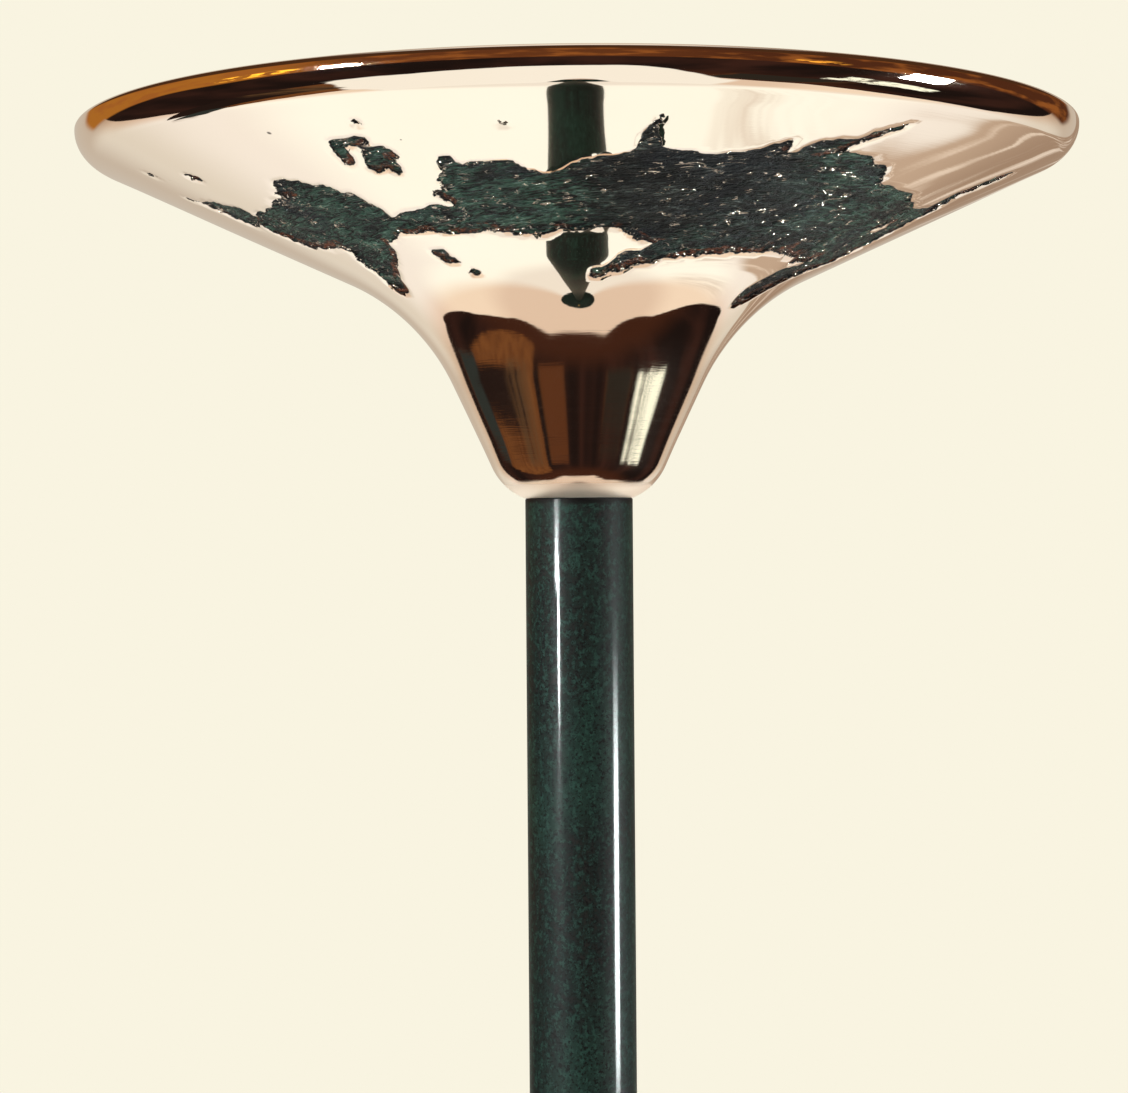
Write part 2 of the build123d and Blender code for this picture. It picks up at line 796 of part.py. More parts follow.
post_nuts = hex_nut(
    post_nut_flats,
    post_nut_height,
    stud_radius + fit_clearance,
    post_nut_z,
    post_places,
)
save(post_nuts, "post_nuts")

with BuildPart() as head_terminal_block:
    with Locations((0, 0, shield_z - block_size[2] / 2)):
        Box(*block_size)
    fillet(head_terminal_block.edges().filter_by(Axis.Z), 1.0)
    with BuildSketch(Plane.XY.offset(shield_z)):
        Circle(block_screw_size[0] + fit_clearance)
    extrude(amount=-0.6 * block_size[2], mode=Mode.SUBTRACT)
save(head_terminal_block, "head_terminal_block")

head_block_screw = pan_screws(
    [(0, 0)],
    block_screw_size,
    shield_thickness + 0.5 * block_size[2],
    shield_z + shield_thickness,
    upward=-1,
)
save(head_block_screw, "head_block_screw")

# ------------------------------------------------------------------ lampholders
# Each holder is drawn for the +X end, and the other end is its mirror image.
contact_tip = lamp_length / 2 - cap_recess_depth
socket_depth = holder_overlap + lamp_shift + socket_reserve
plunger_collar_x = holder_face + socket_depth + socket_web + contact_reserve
chamber_x = holder_face + socket_depth + socket_web
terminal_x = holder_back - terminal_recess


def along_x(start, length, radius, mode=Mode.ADD):
    """A round bar or bore about the lamp's axis, from start along X."""
    with Locations((start + length / 2, 0, lamp_z)):
        Cylinder(radius, abs(length), rotation=(0, 90, 0), mode=mode)


def ceramic_holder(side, socket, chamber):
    """Ceramic block with a round socket, a passage for the contact and a terminal recess."""
    with BuildPart() as holder:
        with BuildSketch(Plane.YZ.offset(side * holder_face)):
            with Locations((0, lamp_z)):
                RectangleRounded(bracket_width, holder_height, 3.0)
        extrude(amount=side * holder_depth)
        along_x(side * holder_face, side * socket, socket_radius, Mode.SUBTRACT)
        along_x(
            side * holder_face,
            side * holder_depth,
            contact_radius + slide_clearance,
            Mode.SUBTRACT,
        )
        along_x(
            side * terminal_x,
            side * terminal_recess,
            terminal_radius + fit_clearance,
            Mode.SUBTRACT,
        )
        if chamber:
            along_x(chamber_x, terminal_x - chamber_x, spring_chamber_radius, Mode.SUBTRACT)
        with BuildSketch(Plane.YZ.offset(side * holder_back)):
            with Locations((0, holder_screw_z)):
                with GridLocations(holder_screw_spacing, 1, 2, 1):
                    Circle(holder_screw[0] + fit_clearance)
        extrude(amount=-side * (holder_screw_grip + 0.5), mode=Mode.SUBTRACT)
    return holder


fixed_holder = ceramic_holder(-1, holder_overlap + 1.0, chamber=False)
save(fixed_holder, "fixed_holder")
sprung_holder = ceramic_holder(1, socket_depth, chamber=True)
save(sprung_holder, "sprung_holder")

with BuildPart() as holder_screws:
    for side in (-1, 1):
        head_face = Plane.YZ.offset(side * bracket_reach)
        with BuildSketch(head_face):
            with Locations((0, holder_screw_z)):
                with GridLocations(holder_screw_spacing, 1, 2, 1):
                    Circle(holder_screw[1])
        extrude(amount=side * holder_screw[2])
        with BuildSketch(head_face):
            with Locations((0, holder_screw_z)):
                with GridLocations(holder_screw_spacing, 1, 2, 1):
                    Circle(holder_screw[0])
        extrude(amount=-side * (bracket_thickness + holder_screw_grip))
save(holder_screws, "holder_screws")

with BuildPart() as fixed_contact:
    along_x(-contact_tip, contact_tip - terminal_x, contact_radius)
    along_x(-terminal_x, -terminal_thickness, terminal_radius)
save(fixed_contact, "fixed_contact")

with BuildPart() as sprung_terminal:
    along_x(terminal_x, terminal_thickness, terminal_radius)
save(sprung_terminal, "sprung_terminal")

with BuildPart() as contact_plunger:
    along_x(contact_tip, plunger_collar_x - contact_tip, contact_radius)
    along_x(plunger_collar_x, contact_collar_width, contact_collar_radius)
save(contact_plunger, "contact_plunger")

spring_seat_x = plunger_collar_x + contact_collar_width
contact_spring = coil_spring(
    (terminal_x, 0, lamp_z),
    (-1, 0, 0),
    terminal_x - spring_seat_x,
    contact_collar_radius - contact_wire,
    contact_wire,
    5,
)
save(contact_spring, "contact_spring")

# ------------------------------------------------------------------ lamp
pinch_end = tube_half_length + pinch_length
cap_start = lamp_length / 2 - cap_length
glass_points = [
    (0, tube_radius),
    (tube_half_length, tube_radius),
    (tube_half_length + 1.5, pinch_radius),
    (pinch_end, pinch_radius),
]
with BuildPart() as lamp_tube:
    with BuildSketch(Plane.XZ) as glass_section:
        with BuildLine():
            Polyline((0, 0), *glass_points, (pinch_end, 0), close=True)
        make_face()
        Rectangle(
            tube_half_length - tube_wall,
            tube_radius - tube_wall,
            align=(Align.MIN, Align.MIN),
            mode=Mode.SUBTRACT,
        )
        mirror(about=Plane.YZ)
    revolve(axis=Axis.X)
lamp_tube.part = lamp_tube.part.moved(Location((0, 0, lamp_z)))
save(lamp_tube, "lamp_tube")

with BuildPart() as lamp_caps:
    for side in (-1, 1):
        along_x(side * cap_start, side * cap_length, cap_radius)
        pinch_grip = pinch_end - cap_start
        along_x(side * cap_start, side * pinch_grip, pinch_radius + fit_clearance, Mode.SUBTRACT)
        along_x(side * contact_tip, side * cap_recess_depth, cap_recess_radius, Mode.SUBTRACT)
save(lamp_caps, "lamp_caps")

with BuildPart() as lamp_filament:
    along_x(-filament_half_length, 2 * filament_half_length, filament_radius)
    tail = tube_half_length - tube_wall
    along_x(-tail, 2 * tail, filament_tail_radius)
save(lamp_filament, "lamp_filament")

# ------------------------------------------------------------------ wires to the holders
wire_z = shield_z - 0.55 * block_size[2]
wire_end = terminal_x + terminal_thickness
wire_turn_x = bracket_reach - 6.5
wire_rise_x = bracket_reach + 6.5


def above_flare(radius):
    """The lowest height at which a wire clears the inside of the bowl's flare."""
    throat = Vector(*bowl_points[2])
    run = Vector(*bowl_points[3]) - throat
    outside_z = throat.Y + (radius - throat.X) * run.Y / run.X
    inside_z = outside_z + bowl_wall * run.length / run.X
    return inside_z + core_radius + wire_clearance


def holder_wire(side):
    """A wire from the terminal block, below the shield and round the bracket's end."""
    points = [
        (block_size[0] / 2, pole_spacing / 2, wire_z),
        (shield_radius - 6.0, pole_spacing / 2, wire_z),
        (wire_turn_x, 4.0, max(shield_z - 2.2, above_flare(wire_turn_x))),
        (wire_rise_x, 1.0, max(bracket_z - 0.5, above_flare(wire_rise_x))),
        (bracket_reach + 7.5, 0, lamp_z),
        (wire_end, 0, lamp_z),
    ]
    return cord([(side * x, side * y, z) for x, y, z in points], core_radius)


live_wire = holder_wire(1)
save(live_wire, "live_wire")
neutral_wire = holder_wire(-1)
save(neutral_wire, "neutral_wire")
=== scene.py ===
import json
import math

import bpy
import numpy as np
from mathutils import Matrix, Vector, noise


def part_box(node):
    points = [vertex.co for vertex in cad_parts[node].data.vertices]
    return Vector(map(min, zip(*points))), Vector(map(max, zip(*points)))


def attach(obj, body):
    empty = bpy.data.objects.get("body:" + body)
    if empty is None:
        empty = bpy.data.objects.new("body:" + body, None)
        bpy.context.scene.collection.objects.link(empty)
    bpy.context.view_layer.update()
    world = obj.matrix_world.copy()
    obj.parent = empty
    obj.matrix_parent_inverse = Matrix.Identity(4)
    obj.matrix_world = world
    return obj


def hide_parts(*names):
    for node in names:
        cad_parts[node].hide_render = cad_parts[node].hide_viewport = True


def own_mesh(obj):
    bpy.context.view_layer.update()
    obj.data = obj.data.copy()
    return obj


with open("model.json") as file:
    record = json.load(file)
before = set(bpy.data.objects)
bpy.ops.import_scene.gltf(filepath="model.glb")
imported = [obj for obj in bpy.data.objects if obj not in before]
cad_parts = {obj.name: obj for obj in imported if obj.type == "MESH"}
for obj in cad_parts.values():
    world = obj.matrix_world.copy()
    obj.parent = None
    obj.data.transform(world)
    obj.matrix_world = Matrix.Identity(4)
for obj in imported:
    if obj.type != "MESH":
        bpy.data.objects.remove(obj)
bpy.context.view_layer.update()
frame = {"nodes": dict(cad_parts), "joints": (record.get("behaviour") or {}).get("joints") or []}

# Camera.
# It stands a metre in front of the lamp and a little lower than the bowl, so that
# the bowl's underside and the top of the stem fill the frame.
bowl_low, bowl_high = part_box("bowl")
eye = bpy.data.cameras.new("eye")
eye.lens = 81
eye.sensor_width = 36
camera = bpy.data.objects.new("eye", eye)
camera.location = (-0.0128, -0.992, bowl_low.z - 0.0126)
camera.rotation_euler = (
    math.radians(89.639),
    math.radians(0.428),
    math.radians(-0.396),
)
bpy.context.scene.collection.objects.link(camera)
bpy.context.scene.camera = camera
bpy.context.scene.view_settings.view_transform = "Standard"

# Studio.
# A pale room with soft light from above. Polished metal also mirrors a warm brown
# room in front, a tall window on the right and an amber wall on the left.
CREAM = (0.947, 0.905, 0.753, 1.0)
DEGREES = math.degrees(1)
FLOOR_REACH = 9


class Out:
    """A node's output. A sum with it adds the node that works the sum out, and
    [name] is another output of the same node."""

    def __init__(self, socket):
        self.socket = socket
        self.tree = socket.id_data

    def __getitem__(self, name):
        return Out(self.socket.node.outputs[name])

    def __add__(self, other):
        return calc("ADD", self, other)

    def __sub__(self, other):
        return calc("SUBTRACT", self, other)

    def __rsub__(self, other):
        return calc("SUBTRACT", other, self)

    def __mul__(self, other):
        return calc("MULTIPLY", self, other)

    def __truediv__(self, other):
        return calc("DIVIDE", self, other)

    def __neg__(self):
        return self * -1

    def __abs__(self):
        return calc("ABSOLUTE", self)


def put(value, socket):
    """Joins an output to an input socket, or sets the socket's value."""
    if isinstance(value, Out):
        value.tree.links.new(value.socket, socket)
    else:
        socket.default_value = value


def node(kind, inputs=None, tree=None, **settings):
    """A node's first output. Unless a tree is given, the node joins its inputs' tree."""
    inputs = inputs or {}
    tree = tree or next(value.tree for value in inputs.values() if isinstance(value, Out))
    family = "" if kind.startswith(("Geometry", "Function")) else "ShaderNode"
    made = tree.nodes.new(family + kind)
    for name, value in settings.items():
        setattr(made, name, value)
    for name, value in inputs.items():
        put(value, made.inputs[name])
    return Out(made.outputs[0])


def calc(operation, *values):
    """The result of one sum."""
    return node("Math", dict(enumerate(values)), operation=operation)


def blend(factor, first, second):
    """The first number, going to the second as the factor goes to 1."""
    return node("Mix", {0: factor, 2: first, 3: second}, data_type="FLOAT")


def tint(factor, first, second, blend_type="MIX"):
    """The first colour, going to the second as the factor goes to 1."""
    colours = {0: factor, 6: first, 7: second}
    return node("Mix", colours, data_type="RGBA", blend_type=blend_type)[2]


def rgb(red, green, blue):
    """A colour written as it looks, from 0 to 255, as the light that it gives back."""
    parts = [value / 255 for value in (red, green, blue)]
    linear = [v / 12.92 if v < 0.04045 else ((v + 0.055) / 1.055) ** 2.4 for v in parts]
    return (*linear, 1)


def ease(value, low, high):
    """0 below low, 1 above high and smooth between; the other way round if low is larger."""
    ends = {"Value": value, "From Min": low, "From Max": high}
    return node("MapRange", ends, interpolation_type="SMOOTHSTEP")


def grain(vector, scale, detail=3, roughness=0.5, distortion=0):
    """Noise from 0 to 1 at a scale, which is about one feature to 1/scale metres."""
    names = ("Vector", "Scale", "Detail", "Roughness", "Distortion")
    return node("TexNoise", dict(zip(names, (vector, scale, detail, roughness, distortion))))


def xyz(vector):
    """A vector's three parts, as [0], [1] and [2]."""
    return node("SeparateXYZ", {"Vector": vector})


def stretch(place, x, y, z):
    """The place, with each axis multiplied."""
    return node("VectorMath", {0: place, 1: (x, y, z)}, operation="MULTIPLY")


def length(vector):
    """How long a vector is."""
    return node("VectorMath", {0: vector}, operation="LENGTH")["Value"]


def azimuth(axes):
    """The turn around the lamp's axis in radians, from the front to the right."""
    return calc("ARCTAN2", axes[0], -axes[1])


def show(shader, kind="Material"):
    """Ends a material or a world in its shader."""
    put(shader, shader.tree.nodes.new("ShaderNodeOutput" + kind).inputs["Surface"])


def bare_paint(name):
    """A new material with an empty tree, and the place on its object."""
    paint = bpy.data.materials.new(name)
    paint.use_nodes = True
    paint.node_tree.nodes.clear()
    return paint, node("TexCoord", tree=paint.node_tree)["Object"]


def put_in(name, data):
    """A new object in the scene."""
    made = bpy.data.objects.new(name, data)
    bpy.context.scene.collection.objects.link(made)
    return made


world = bpy.data.worlds.new("studio")
bpy.context.scene.world = world
world.use_nodes = True
sky = world.node_tree
sky.nodes.clear()
look = node("TexCoord", tree=sky)["Generated"]
way = xyz(look)
drift = grain(look, 2.2, 2) - 0.5
turn = drift * 5 + azimuth(way) * DEGREES
tilt = calc("ARCSINE", way[2]) * DEGREES
side = abs(turn)


def within(value, low, high, soft):
    """1 between low and high, with soft ends."""
    return ease(value, low - soft, low + soft) * ease(value, high + soft, high - soft)


def patch(left, right, low, high, soft=2):
    """A soft-edged panel of the room, between two turns and two tilts in degrees."""
    return within(turn, left, right, soft) * within(tilt, low, high, soft)


# the pale rear: cream white below, pinker and tan towards the horizon
pale = tint(ease(tilt, -8, -19), (0.6, 0.53, 0.44, 1), (0.8, 0.77, 0.68, 1))
pale = tint(ease(tilt, -19, -36), pale, (1.02, 1.03, 1, 1))
pale = tint(ease(tilt, -36, -47), pale, (1.15, 1.23, 1.18, 1))
pale = tint(ease(tilt, -57, -68), pale, (0.97, 0.98, 0.93, 1))
pale = tint(ease(side, 150, 132), pale, (0.86, 0.71, 0.62, 1), "MULTIPLY")
# tan folds in it on the right, with fine lines drawn out in them
threads = node("CombineXYZ", {0: turn * 0.55, 1: tilt * 0.05})
threads = grain(threads, 1, 3, 0.6)
fold = ease(turn, 153.2, 154.4) * ease(tilt, -40, -35) * ease(turn, 172, 165)
tan_light = tint(ease(tilt, -30, -12), (0.55, 0.42, 0.31, 1), (0.36, 0.245, 0.165, 1))
tan_light = tint(ease(threads, 0.52, 0.68), tan_light, (0.85, 0.74, 0.62, 1))
pale = tint(fold * 0.92, pale, tan_light)
low_fold = patch(156, 162, -56, -40, 3) * ease(threads, 0.38, 0.62) * 0.6
pale = tint(low_fold, pale, (0.7, 0.58, 0.48, 1))
low_fold = patch(138, 147, -57, -42, 4) * ease(threads, 0.36, 0.6)
pale = tint(low_fold * 0.5, pale, (0.7, 0.58, 0.48, 1))
# the brown room in front
streak = node("CombineXYZ", {0: turn * 0.035, 1: tilt * 0.02})
streak = grain(streak, 1, 3, 0.5)
room = tint(ease(streak, 0.4, 0.7), (0.013, 0.008, 0.007, 1), (0.045, 0.019, 0.014, 1))
room = tint(ease(tilt, -46, -62), room, (0.055, 0.02, 0.011, 1))
amber = tint(ease(turn, -42, -80), (0.135, 0.044, 0.015, 1), (0.42, 0.165, 0.026, 1))
amber = tint(ease(turn, 8, 40), amber, (0.085, 0.028, 0.012, 1))
veins = grain(look, 5, 4)
amber = tint(ease(veins, 0.46, 0.64) * 0.75, amber, (0.36, 0.125, 0.028, 1))
amber = tint(ease(tilt, 9, 16), amber, (0.07, 0.03, 0.013, 1))
room = tint(ease(tilt + ease(side, 105, 80) * 5, -11, -8.5), room, amber)
glint = ease(grain(look, 13, 3), 0.46, 0.56)
room = tint(glint * patch(-84, -63, -10, -3, 3), room, (2.6, 1.35, 0.12, 1))
room = tint(glint * patch(46, 58, -9, -3, 3), room, (1.6, 0.75, 0.09, 1))
# where the rear begins: a line on the floor, and higher up a turn
fall = calc("MAXIMUM", -way[2], 0.05) * 0.58
across = abs(way[0]) / fall
back = way[1] / fall
line = ease(across, 0.4, 0.85) * 0.6 - 0.55
line = ease(across, 0.75, 1.85) * 1.75 + line
line = calc("MAXIMUM", across - 1.85, 0) * 0.88 + line
line = ease(way[0], 0, 0.1) * ease(across, 0.9, 1.3) * 0.25 + line
past = drift * 0.16 + (back - line) / (across + 1)
low_rear = ease(past, -0.012, 0.012)
high_rear = ease(side, 141, 146)
behind = blend(ease(tilt, -7, -11), high_rear, low_rear)
mirror = tint(behind, room, pale)
mirror = tint(ease(tilt, 58, 80), mirror, (0.95, 0.92, 0.86, 1))
rays = node("LightPath", tree=sky)
soft_light = node("Background", {"Color": (0.92, 0.9, 0.86, 1), "Strength": 0.34}, sky)
mirrored = node("Background", {"Color": mirror})
seen = node("Background", {"Color": CREAM}, sky)
shown = node("MixShader", {0: rays["Is Glossy Ray"], 1: soft_light, 2: mirrored})
direct = calc("MAXIMUM", rays["Is Camera Ray"], rays["Is Transmission Ray"])
show(node("MixShader", {0: direct, 1: shown, 2: seen}), "World")


def lamp_panel(name, place, aim, size, power):
    """A soft square light that mirrors don't show."""
    light = bpy.data.lights.new(name, "AREA")
    light.shape = "SQUARE"
    light.size = size
    light.energy = power
    panel = put_in(name, light)
    panel.location = place
    panel.rotation_euler = (Vector(aim) - Vector(place)).to_track_quat("-Z", "Y").to_euler()
    panel.visible_glossy = False


lamp_panel("key_light", (-2.6, -2, 2.9), (0, 0, 1.4), size=1.8, power=130)
lamp_panel("fill_light", (2.6, 1.6, 2.6), (0, 0, 1), size=2.4, power=12)

# the floor, which turns into the plain background a few metres out, and is clear from below
corners = [(x * FLOOR_REACH, y * FLOOR_REACH, 0) for x, y in ((-1, -1), (1, -1), (1, 1), (-1, 1))]
floor_mesh = bpy.data.meshes.new("floor")
floor_mesh.from_pydata(corners, [], [(0, 1, 2, 3)])
floor = put_in("floor", floor_mesh)
floor.visible_glossy = False
paper, spot = bare_paint("pale_floor")
fibre = grain(spot, 60, 4) * 0.03
matt = node("BsdfDiffuse", {"Color": tint(fibre, (0.8, 0.765, 0.64, 1), (0.6, 0.56, 0.46, 1))})
glow = node("Emission", {"Color": CREAM}, spot.tree)
both = node("MixShader", {0: ease(length(spot), 0.5, 2.6), 1: matt, 2: glow})
below = node("NewGeometry", tree=spot.tree)["Backfacing"]
clear = node("BsdfTransparent", tree=spot.tree)
show(node("MixShader", {0: below, 1: both, 2: clear}))
floor_mesh.materials.append(paper)


def shine(spot, colour, strength=1, where=1):
    """Ends a card's paint: it gives off light in some places and is clear in the rest."""
    light = node("Emission", {"Color": colour, "Strength": strength}, spot.tree)
    show(node("MixShader", {0: where, 1: node("BsdfTransparent", tree=spot.tree), 2: light}))


def card_paint(spot):
    """Pale, with a ragged outer edge that is nearer on the right."""
    swing = azimuth(xyz(spot))
    out = length(stretch(spot, 1, 1, 0))
    edge = ease(swing, -0.1, -0.6) * -0.045 + 0.362
    edge = ease(swing, 0.12, 0.52) * -0.15 + edge
    edge = (grain(spot, 14, 3) - 0.5) * 0.03 + edge
    ragged = (grain(spot, 30, 2) - 0.5) * 0.16 + swing
    notch = ease(abs(swing), 0.17, 0) * 0.045 + 0.15
    pale_part = ease(out - edge, 0.006, -0.006) * ease(swing, 0.54, 0.5)
    pale_part = pale_part * ease(ragged, -0.83, -0.79) * ease(out - notch, 0, 0.003)
    shine(spot, (1.04, 1.08, 1.04, 1), where=pale_part)


def left_strip_paint(spot):
    """A bright strip, fading at its lower end."""
    shine(spot, (0.93, 1, 1, 1), ease(xyz(spot)[2], 1.41, 1.51) * 1150)


def right_strip_paint(spot):
    """A bright strip, fading at its upper end and a little at its lower end."""
    level = xyz(spot)[2]
    strength = ease(level, 1.51, 1.31) * 300 * (ease(level, 0.98, 1.12) * 0.6 + 0.4)
    shine(spot, (0.93, 1, 1, 1), strength)


def wall_paint(spot):
    """A near wall with amber panels and dark frames, and clear elsewhere."""
    axes = xyz(spot)
    wobble = grain(spot, 30, 3) - 0.5
    swing = wobble * 5 + azimuth(axes) * DEGREES
    # heights in mm over a line that rises on both sides
    lift = swing * swing * -0.0135 + axes[2] * 1000 - 1415
    arch = swing + 68
    arch = arch * arch * -0.13 + lift
    panel = ease(arch, -218, -206) * within(swing, -111, -46.5, 1)
    streaks = grain(stretch(spot, 60, 60, 14), 1, 3)
    paint = tint(ease(streaks, 0.35, 0.65), (0.13, 0.05, 0.018, 1), (0.2, 0.08, 0.026, 1))
    block = ease(lift, -15, -11) * within(swing, -112, -58, 2.5)
    paint = tint(block, paint, (0.019, 0.011, 0.009, 1))
    haze = ease(lift, -70, -20) * within(swing, -72, -52, 4)
    paint = tint(haze * ease(streaks, 0.35, 0.62), paint, (0.11, 0.062, 0.03, 1))
    teal = within(lift, -37, 14, 3) * within(swing, -117, -102, 1.2)
    paint = tint(teal, paint, (0.03, 0.038, 0.036, 1))
    middle = ease(lift, -43, -38) * within(swing, -40, -15, 2)
    paint = tint(middle, paint, (0.11, 0.04, 0.016, 1))
    grey = ease(lift, -13, -9) * within(swing, 28, 53, 1.5)
    paint = tint(grey, paint, (0.027, 0.023, 0.018, 1))
    for part in (teal, middle, grey):
        panel = calc("MAXIMUM", panel, part)
    shine(spot, paint, where=panel)


def window_paint(spot):
    """A bright window with worn edges, a slanted sill and a bar."""
    axes = xyz(spot)
    worn = grain(spot, 14, 4, 0.6) - 0.5
    swing = worn * 13 + azimuth(axes) * DEGREES
    sill = worn * 0.12 + ((swing - 60) * 0.0066 + 0.885)
    pane = ease(swing, 62.5, 64) * ease(swing, 93, 91.5)
    pane = pane * ease(axes[2] - sill, -0.012, 0.012)
    bar = ease(swing, 69, 70) * ease(swing, 73, 72)
    stains = ease(grain(stretch(spot, 1, 1, 0.5), 26, 4, 0.65), 0.4, 0.47)
    shine(spot, (1.2, 1.32, 1.16, 1), stains * 0.75 + 0.25, pane * (bar * -0.92 + 1))


# the cards that only mirrors show, a pale one just under the bowl and four upright ones: each
# is a strip between two rings (radius, height), from one turn in degrees to another
CARD_LEVEL = bowl_low.z - 0.024
CARDS = (
    ("reflector_card", card_paint, (0.15, CARD_LEVEL), (0.42, CARD_LEVEL), -70, 36, 29),
    ("left_strip", left_strip_paint, (2, 1.38), (2, 1.61), -54, -45.5, 2),
    ("right_strip", right_strip_paint, (2, 0.94), (2, 1.51), 74, 85.5, 2),
    ("window", window_paint, (0.9, 0.8), (0.9, 1.235), 56, 98, 12),
    ("brown_wall", wall_paint, (0.3, 1.15), (0.3, 1.62), -120, 56, 60),
)
for name, build_paint, first_ring, second_ring, first, last, steps in CARDS:
    angles = np.radians(np.linspace(first, last, steps + 1))
    points = [
        (radius * math.sin(t), -radius * math.cos(t), height)
        for radius, height in (first_ring, second_ring)
        for t in angles
    ]
    faces = [(i, i + 1, i + steps + 2, i + steps + 1) for i in range(steps)]
    card_mesh = bpy.data.meshes.new(name)
    card_mesh.from_pydata(points, [], faces)
    card = put_in(name, card_mesh)
    for ray_kind in ("camera", "diffuse", "transmission", "volume_scatter", "shadow"):
        setattr(card, "visible_" + ray_kind, False)
    paint, spot = bare_paint(name)
    build_paint(spot)
    card_mesh.materials.append(paint)

# Base casting.
# A hollow bronze casting with a low cone on top and a hub for the stem, patinated
# dark green and brown-black over its lightly dressed cast skin, then lacquered.


def feed(material, **sockets):
    """Gives values and outputs to a material's Principled shader."""
    shader = material.node_tree.nodes["Principled BSDF"]
    for name, value in sockets.items():
        put(value, shader.inputs[name.replace("_", " ")])


def finish(name, **sockets):
    """A new material with one Principled shader, and the place on the part."""
    material = bpy.data.materials.new(name)
    material.use_nodes = True
    feed(material, **sockets)
    return material, node("TexCoord", tree=material.node_tree)["Object"]


def raise_by(height, distance, strength=1, under=None):
    """A bump of a height from 0 to 1 over a distance in metres."""
    settings = {"Height": height, "Distance": distance, "Strength": strength}
    if under is not None:
        settings["Normal"] = under
    return node("Bump", settings)


def surface(material, colour, roughness, relief, depth):
    """Gives a material its colour, its roughness and a relief, which is depth metres at 1."""
    feed(material, Base_Color=colour, Roughness=roughness, Normal=raise_by(relief, depth))


def dress(material, *names):
    """Gives a finish to CAD nodes."""
    for name in names:
        node_mesh = frame["nodes"][name].data
        for index in range(len(node_mesh.materials)):
            node_mesh.materials[index] = material


neck_z = bowl_low.z
lacquered, place = finish(
    "green_black_patina",
    Coat_Weight=0.12,
    Coat_Roughness=0.105,
    Coat_IOR=1.5,
    Specular_IOR_Level=0.04,
)
clouds = grain(stretch(place, 1, 1, 0.6), 34, 4, 0.6)
specks = grain(place, 820, 3, 0.7)
dabs = grain(stretch(place, 1, 1, 0.8), 470, 4, 0.75)
axes = xyz(place)
body = clouds + 0.07
ground = tint(ease(body, 0.48, 0.7), rgb(18, 27, 25), rgb(22, 42, 36))
leaf = ease(dabs, 0.48, 0.62) * 0.62
ground = tint(leaf, ground, rgb(38, 68, 60))
brown = ease(dabs, 0.49, 0.36) * ease(body, 0.62, 0.44)
ground = tint(brown * 0.6, ground, rgb(36, 28, 27))
ground = tint(ease(specks, 0.49, 0.38), ground, rgb(6, 7, 8))
joint = grain(place, 300, 3) * 0.004 + axes[2]
ground = tint(ease(joint, neck_z - 0.0004, neck_z + 0.0004), ground, rgb(7, 6, 6))
surface(lacquered, ground, specks * 0.25 + 0.45, specks * 0.4 + dabs, 0.00006)
feed(lacquered, Coat_Normal=raise_by(grain(place, 700, 3), 0.000012))
dress(lacquered, "base_casting", "switch_nut")

# Base plate.
# A steel disc let into the casting's underside to close it, finished in black
# hammer paint. Six screws hold it to bosses in the casting.
hammer_paint, place = finish("black_hammer_paint", Coat_Weight=0.5, Coat_Roughness=0.16)
cells = {"Vector": place, "Scale": 260, "Smoothness": 0.7}
dimples = ease(node("TexVoronoi", cells, feature="SMOOTH_F1")["Distance"], 0.15, 0.75)
dust = grain(place, 34, 5, 0.6)
scuffs = ease(grain(stretch(place, 1, 7, 1), 46, 4, 0.7), 0.62, 0.7)
ground = tint(dimples, rgb(34, 35, 36), rgb(20, 20, 21))
ground = tint(ease(dust, 0.46, 0.72) * 0.4, ground, rgb(70, 66, 60))
ground = tint(scuffs * 0.5, ground, rgb(92, 92, 92))
surface(hammer_paint, ground, dust * 0.4 + 0.28, dimples, 0.00035)
dress(hammer_paint, "base_plate")

# Plate screws, and how every screw of the lamp is made.
# Slotted pan-head steel screws, cold headed with a slot cut across. The six under
# the base plate are chemically blackened.
SLOT_WIDTH = 0.0009
SLOT_SHARE = 0.5
PLATE_HEAD = 0.0036
PLATE_SHANK = 0.0020
UP, DOWN = (0, 0, 1), (0, 0, -1)


def shape_tree(name, *sizes, **others):
    """A geometry tree that takes points, sizes and a finish; returns it and its inputs."""
    tree = bpy.data.node_groups.new(name, "GeometryNodeTree")
    kinds = {"Geometry": "Geometry", **dict.fromkeys(sizes, "Float"), **others}
    for input_name, kind in (kinds | {"Finish": "Material"}).items():
        tree.interface.new_socket(input_name, in_out="INPUT", socket_type="NodeSocket" + kind)
    tree.interface.new_socket("Geometry", in_out="OUTPUT", socket_type="NodeSocketGeometry")
    return tree, Out(tree.nodes.new("NodeGroupInput").outputs[0])


def joined(*shapes):
    """Shapes of a geometry tree as one."""
    both = shapes[0].tree.nodes.new("GeometryNodeJoinGeometry")
    for shape in shapes:
        put(shape, both.inputs[0])
    return Out(both.outputs[0])


def lifted(shape, height):
    """A shape of a geometry tree, moved up."""
    shift = node("CombineXYZ", {2: height}, shape.tree)
    return node("GeometryNodeTransform", {"Geometry": shape, "Translation": shift})


def close_tree(shape, material):
    """Ends a geometry tree in real, finished geometry."""
    real = node("GeometryNodeRealizeInstances", {0: shape})
    done = node("GeometryNodeSetMaterial", {"Geometry": real, "Material": material})
    put(done, shape.tree.nodes.new("NodeGroupOutput").inputs[0])


